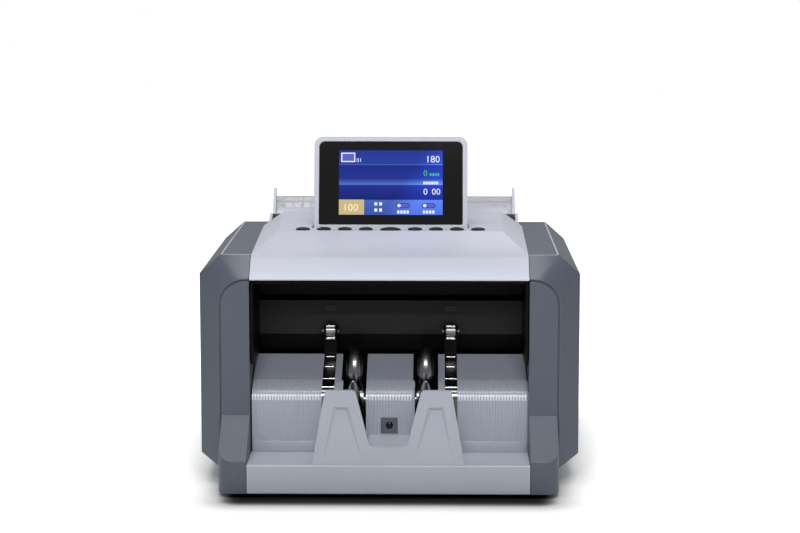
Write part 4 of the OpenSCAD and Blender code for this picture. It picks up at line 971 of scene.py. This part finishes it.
def make_guide_webs():
    """Dark web that closes the end of the hopper under each side guide's shelf."""
    for side, sign in SIDES:
        guide = side + "_hopper_guide"
        low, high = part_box(guide)
        outer = high.x if sign > 0 else low.x
        near, far = sorted((outer - sign * WEB_REACH, outer - sign * WEB_INSET))
        web_low, web_high = (near, WEB_Y[0], WEB_Z[0]), (far, WEB_Y[1], WEB_Z[1])
        block(side + "_guide_web", web_low, web_high, 0.1 * MM, WEB, guide)
        bm = bmesh.new()
        flat_face(bm, [(outer - sign * LINING_INSET, y, z) for y, z in LINING_OUTLINE])
        thicken(bm, (-sign * LINING_T, 0, 0))
        piece(side + "_guide_lining", bm, WEB, guide)


def make_back_plate_lines():
    """Moulded lines on the clear back plate: upright ribs and one line across."""
    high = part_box("hopper_back_plate")[1]
    up = Vector((0, math.cos(HOPPER_ANGLE), math.sin(HOPPER_ANGLE)))
    out = Vector((0, -math.sin(HOPPER_ANGLE), math.cos(HOPPER_ANGLE)))
    crest = Vector((0, high.y, high.z))
    turn = Matrix((Vector((1, 0, 0)), up, out)).transposed().to_4x4()
    pitch = high.x / 13
    bars = [(i * pitch, 11.5 * MM, 0.55 * MM, 10 * MM) for i in range(-12, 13)]
    bars.append((0.0, 6.6 * MM, 2 * high.x, 0.9 * MM))
    bm = bmesh.new()
    for x, down, wide, tall in bars:
        box = bmesh.ops.create_cube(bm, size=1)["verts"]
        bmesh.ops.scale(bm, vec=(wide, tall, 0.3 * MM), verts=box)
        place = Matrix.Translation(crest - up * down + Vector((x, 0, 0)))
        bmesh.ops.transform(bm, matrix=place @ turn, verts=box)
    piece("hopper_back_plate_lines", bm, LINE, "root")


def make_notch_seats():
    """Dark seats at the bottom of the exit guide's two notches, in the throat's lighter black: painted
    light.
    """
    low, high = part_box("right_exit_roller")
    middle = (low.x + high.x) / 2
    for side, sign in SIDES:
        x = sign * middle
        seat_low = (x - SEAT_HALF_W, SEAT_Y[0], SEAT_Z[0])
        seat_high = (x + SEAT_HALF_W, SEAT_Y[1], SEAT_Z[1])
        block(side + "_notch_seat", seat_low, seat_high, 0.1 * MM, LIT_BLACK, "root")


make_stacker_plate()
make_stacker_wheel("left")
make_stacker_wheel("right")
make_guide_strips()
make_roller_lips()
make_sensor_eye()
make_guide_webs()
make_back_plate_lines()
make_notch_seats()


# Display


HINGE = Vector(next(j["pos_m"] for j in frame["joints"] if j["name"] == "display_tilt"))
UPWARD = Vector((0, math.sin(DISPLAY_TILT), math.cos(DISPLAY_TILT)))
OUTWARD = Vector((0, -math.cos(DISPLAY_TILT), math.sin(DISPLAY_TILT)))


def on_glass(bm, lift):
    """Moves a flat drawing, its x across and its y up, onto the front of the glass."""
    turn = Matrix((Vector((1, 0, 0)), UPWARD, OUTWARD)).transposed().to_4x4()
    place = Matrix.Translation(HINGE + OUTWARD * (GLASS_FRONT + lift))
    bmesh.ops.transform(bm, matrix=place @ turn, verts=bm.verts)


def under_gloss(shader):
    """Gives a lit colour of the screen its dark glossy front."""
    shader.inputs["Base Color"].default_value = (0.004, 0.004, 0.006, 1)
    shader.inputs["Roughness"].default_value = 0.08
    shader.inputs["Specular IOR Level"].default_value = 0.2
    shader.inputs["Emission Strength"].default_value = 1.0


def lit(name, colour):
    """One colour of the lit screen, seen under gloss."""
    material, tree, shader = blank_material(name)
    place = add(tree, "ShaderNodeTexCoord")
    pixels = add(tree, "ShaderNodeTexNoise", {"Scale": 2500.0})
    tone = add(tree, "ShaderNodeMath", {1: 0.1, 2: 0.95}, operation="MULTIPLY_ADD")
    toned = add(tree, "ShaderNodeVectorMath", {0: colour[:3]}, operation="SCALE")
    link = tree.links.new
    link(place.outputs["Object"], pixels.inputs["Vector"])
    link(pixels.outputs["Fac"], tone.inputs[0])
    link(tone.outputs[0], toned.inputs["Scale"])
    link(toned.outputs[0], shader.inputs["Emission Color"])
    under_gloss(shader)
    return material


def make_screen_blue():
    """Blue ground of the screen with two pale streaks; a painted reflection makes it lighter to the right
    of a slanting line and darker to the left.
    """
    material, tree, shader = blank_material("screen_blue")
    link = tree.links.new
    place = add(tree, "ShaderNodeTexCoord")
    centred = add(tree, "ShaderNodeVectorMath", {1: HINGE}, operation="SUBTRACT")
    height = add(tree, "ShaderNodeVectorMath", {1: UPWARD}, operation="DOT_PRODUCT")
    across = add(tree, "ShaderNodeSeparateXYZ")
    rows = add(
        tree, "ShaderNodeMapRange", {"From Min": SCREEN_LOW, "From Max": SCREEN_HIGH}, clamp=True
    )
    ramp = add(tree, "ShaderNodeValToRGB")
    stops = [
        (0.0, (74, 112, 226)),
        (0.23, (92, 132, 240)),
        (0.236, (22, 40, 150)),
        (0.46, (34, 62, 190)),
        (0.470, (118, 156, 255)),
        (0.485, (96, 134, 248)),
        (0.56, (36, 66, 190)),
        (0.77, (28, 54, 176)),
        (0.775, (112, 144, 246)),
        (0.79, (48, 80, 208)),
        (1.0, (40, 70, 190)),
    ]
    set_ramp(ramp, [(at, paint(*colour)) for at, colour in stops])
    # Painted reflection on the glass: lighter to the right of a slanting line, darker to the left
    slant = add(tree, "ShaderNodeMath", {1: -0.62}, operation="MULTIPLY_ADD")
    side = add(tree, "ShaderNodeMapRange", {"From Min": -0.012, "From Max": 0.008}, clamp=True)
    side.inputs["To Min"].default_value = 0.55
    side.inputs["To Max"].default_value = 1.08
    toned = add(tree, "ShaderNodeVectorMath", operation="SCALE")
    link(place.outputs["Object"], centred.inputs[0])
    link(centred.outputs[0], height.inputs[0])
    link(centred.outputs[0], across.inputs[0])
    link(height.outputs["Value"], rows.inputs["Value"])
    link(rows.outputs[0], ramp.inputs["Fac"])
    link(height.outputs["Value"], slant.inputs[0])
    link(across.outputs["X"], slant.inputs[2])
    link(slant.outputs[0], side.inputs["Value"])
    link(ramp.outputs["Color"], toned.inputs[0])
    link(side.outputs[0], toned.inputs["Scale"])
    link(toned.outputs[0], shader.inputs["Emission Color"])
    under_gloss(shader)
    return material


SCREEN_BLUE = make_screen_blue()
SCREEN_WHITE = lit("screen_white", paint(238, 242, 255))
SCREEN_GREEN = lit("screen_green", paint(70, 190, 120))
SCREEN_GOLD = lit("screen_gold", paint(206, 184, 132))
SCREEN_CREAM = lit("screen_cream", paint(250, 240, 200))
SCREEN_VIOLET = lit("screen_violet", paint(92, 96, 200))
SCREEN_NAVY = lit("screen_navy", paint(26, 34, 104))


def screen_bar(name, x0, x1, low, high, material, lift=0.06 * MM, rounding=0.0):
    """A flat bar of the screen's picture, given in millimetres from the hinge's middle."""
    bm = bmesh.new()
    bmesh.ops.create_grid(bm, x_segments=1, y_segments=1, size=0.5)
    bmesh.ops.scale(bm, vec=((x1 - x0) * MM, (high - low) * MM, 1), verts=bm.verts)
    bmesh.ops.translate(bm, vec=((x0 + x1) / 2 * MM, (low + high) / 2 * MM, 0), verts=bm.verts)
    if rounding > 0:
        round_corners(bm, bm.verts[:], rounding * MM, 6)
    on_glass(bm, lift)
    return piece(name, bm, material, "display")


def screen_digits(name, text, x, low, height, material):
    """Plain digits on the screen, x and low in millimetres at their left foot."""
    curve = bpy.data.curves.new(name, "FONT")
    curve.body = text
    curve.size = height * MM / 0.7
    curve.resolution_u = 3
    flat = bpy.data.objects.new(name + "_outline", curve)
    bpy.context.scene.collection.objects.link(flat)
    drawn = flat.evaluated_get(bpy.context.evaluated_depsgraph_get()).to_mesh()
    bm = bmesh.new()
    bm.from_mesh(drawn)
    bpy.data.objects.remove(flat)
    bmesh.ops.translate(bm, vec=(x * MM, low * MM, 0), verts=bm.verts)
    on_glass(bm, 0.1 * MM)
    return piece(name, bm, material, "display")


def make_screen():
    edge = SCREEN_X / MM
    low, high = SCREEN_LOW / MM, SCREEN_HIGH / MM
    screen_bar("screen_ground", -edge, edge, low, high, SCREEN_BLUE, lift=0.03 * MM)
    screen_bar("screen_mode_tile", -edge, -18.9, low + 0.2, 21.6, SCREEN_GOLD)
    screen_digits("screen_mode_digits", "100", -34.2, 13.4, 5.2, SCREEN_CREAM)
    screen_bar("screen_corner_tile", -35.4, -25.4, 48.6, 55.4, SCREEN_WHITE)
    screen_bar("screen_corner_mark", -34.6, -26.2, 49.4, 54.6, SCREEN_VIOLET, lift=0.1 * MM)
    screen_digits("screen_corner_digits", "01", -24.6, 48.6, 2.8, SCREEN_WHITE)
    screen_digits("screen_set_digits", "180", 24.6, 48.4, 4.8, SCREEN_WHITE)
    screen_digits("screen_count_digits", "0", 23.0, 38.6, 4.2, SCREEN_GREEN)
    screen_digits("screen_sum_digits", "0", 23.0, 25.2, 4.4, SCREEN_WHITE)
    screen_digits("screen_sum_tail", "00", 29.0, 25.2, 4.4, SCREEN_WHITE)
    for i in range(4):
        screen_bar("screen_count_dash_%d" % i, 27.6 + i * 1.8, 28.9 + i * 1.8, 38.7, 40.6, SCREEN_GREEN)
    for i in range(6):
        screen_bar("screen_sum_dash_%d" % i, 23.0 + i * 1.85, 24.4 + i * 1.85, 32.6, 34.6, SCREEN_WHITE)
    for row, v in enumerate((17.4, 13.0)):
        for i in range(2):
            name = "screen_cell_dash_%d_%d" % (row, i)
            screen_bar(name, -11.6 + i * 3.4, -9.6 + i * 3.4, v, v + 2.2, SCREEN_WHITE)
    for side, x in (("left", 4.0), ("right", 22.2)):
        screen_bar("screen_switch_%s" % side, x, x + 9.6, 15.6, 19.0, SCREEN_NAVY, rounding=1.6)
        screen_bar(
            "screen_switch_track_%s" % side, x + 0.4, x + 9.2, 16.0, 18.6, SCREEN_VIOLET, 0.1 * MM, 1.25
        )
        screen_bar(
            "screen_switch_knob_%s" % side, x + 0.7, x + 3.1, 16.1, 18.5, SCREEN_WHITE, 0.14 * MM, 1.15
        )
        for i in range(4):
            name = "screen_switch_dash_%s_%d" % (side, i)
            screen_bar(name, x + 0.6 + i * 2.2, x + 2.2 + i * 2.2, 11.6, 13.8, SCREEN_WHITE)


make_screen()
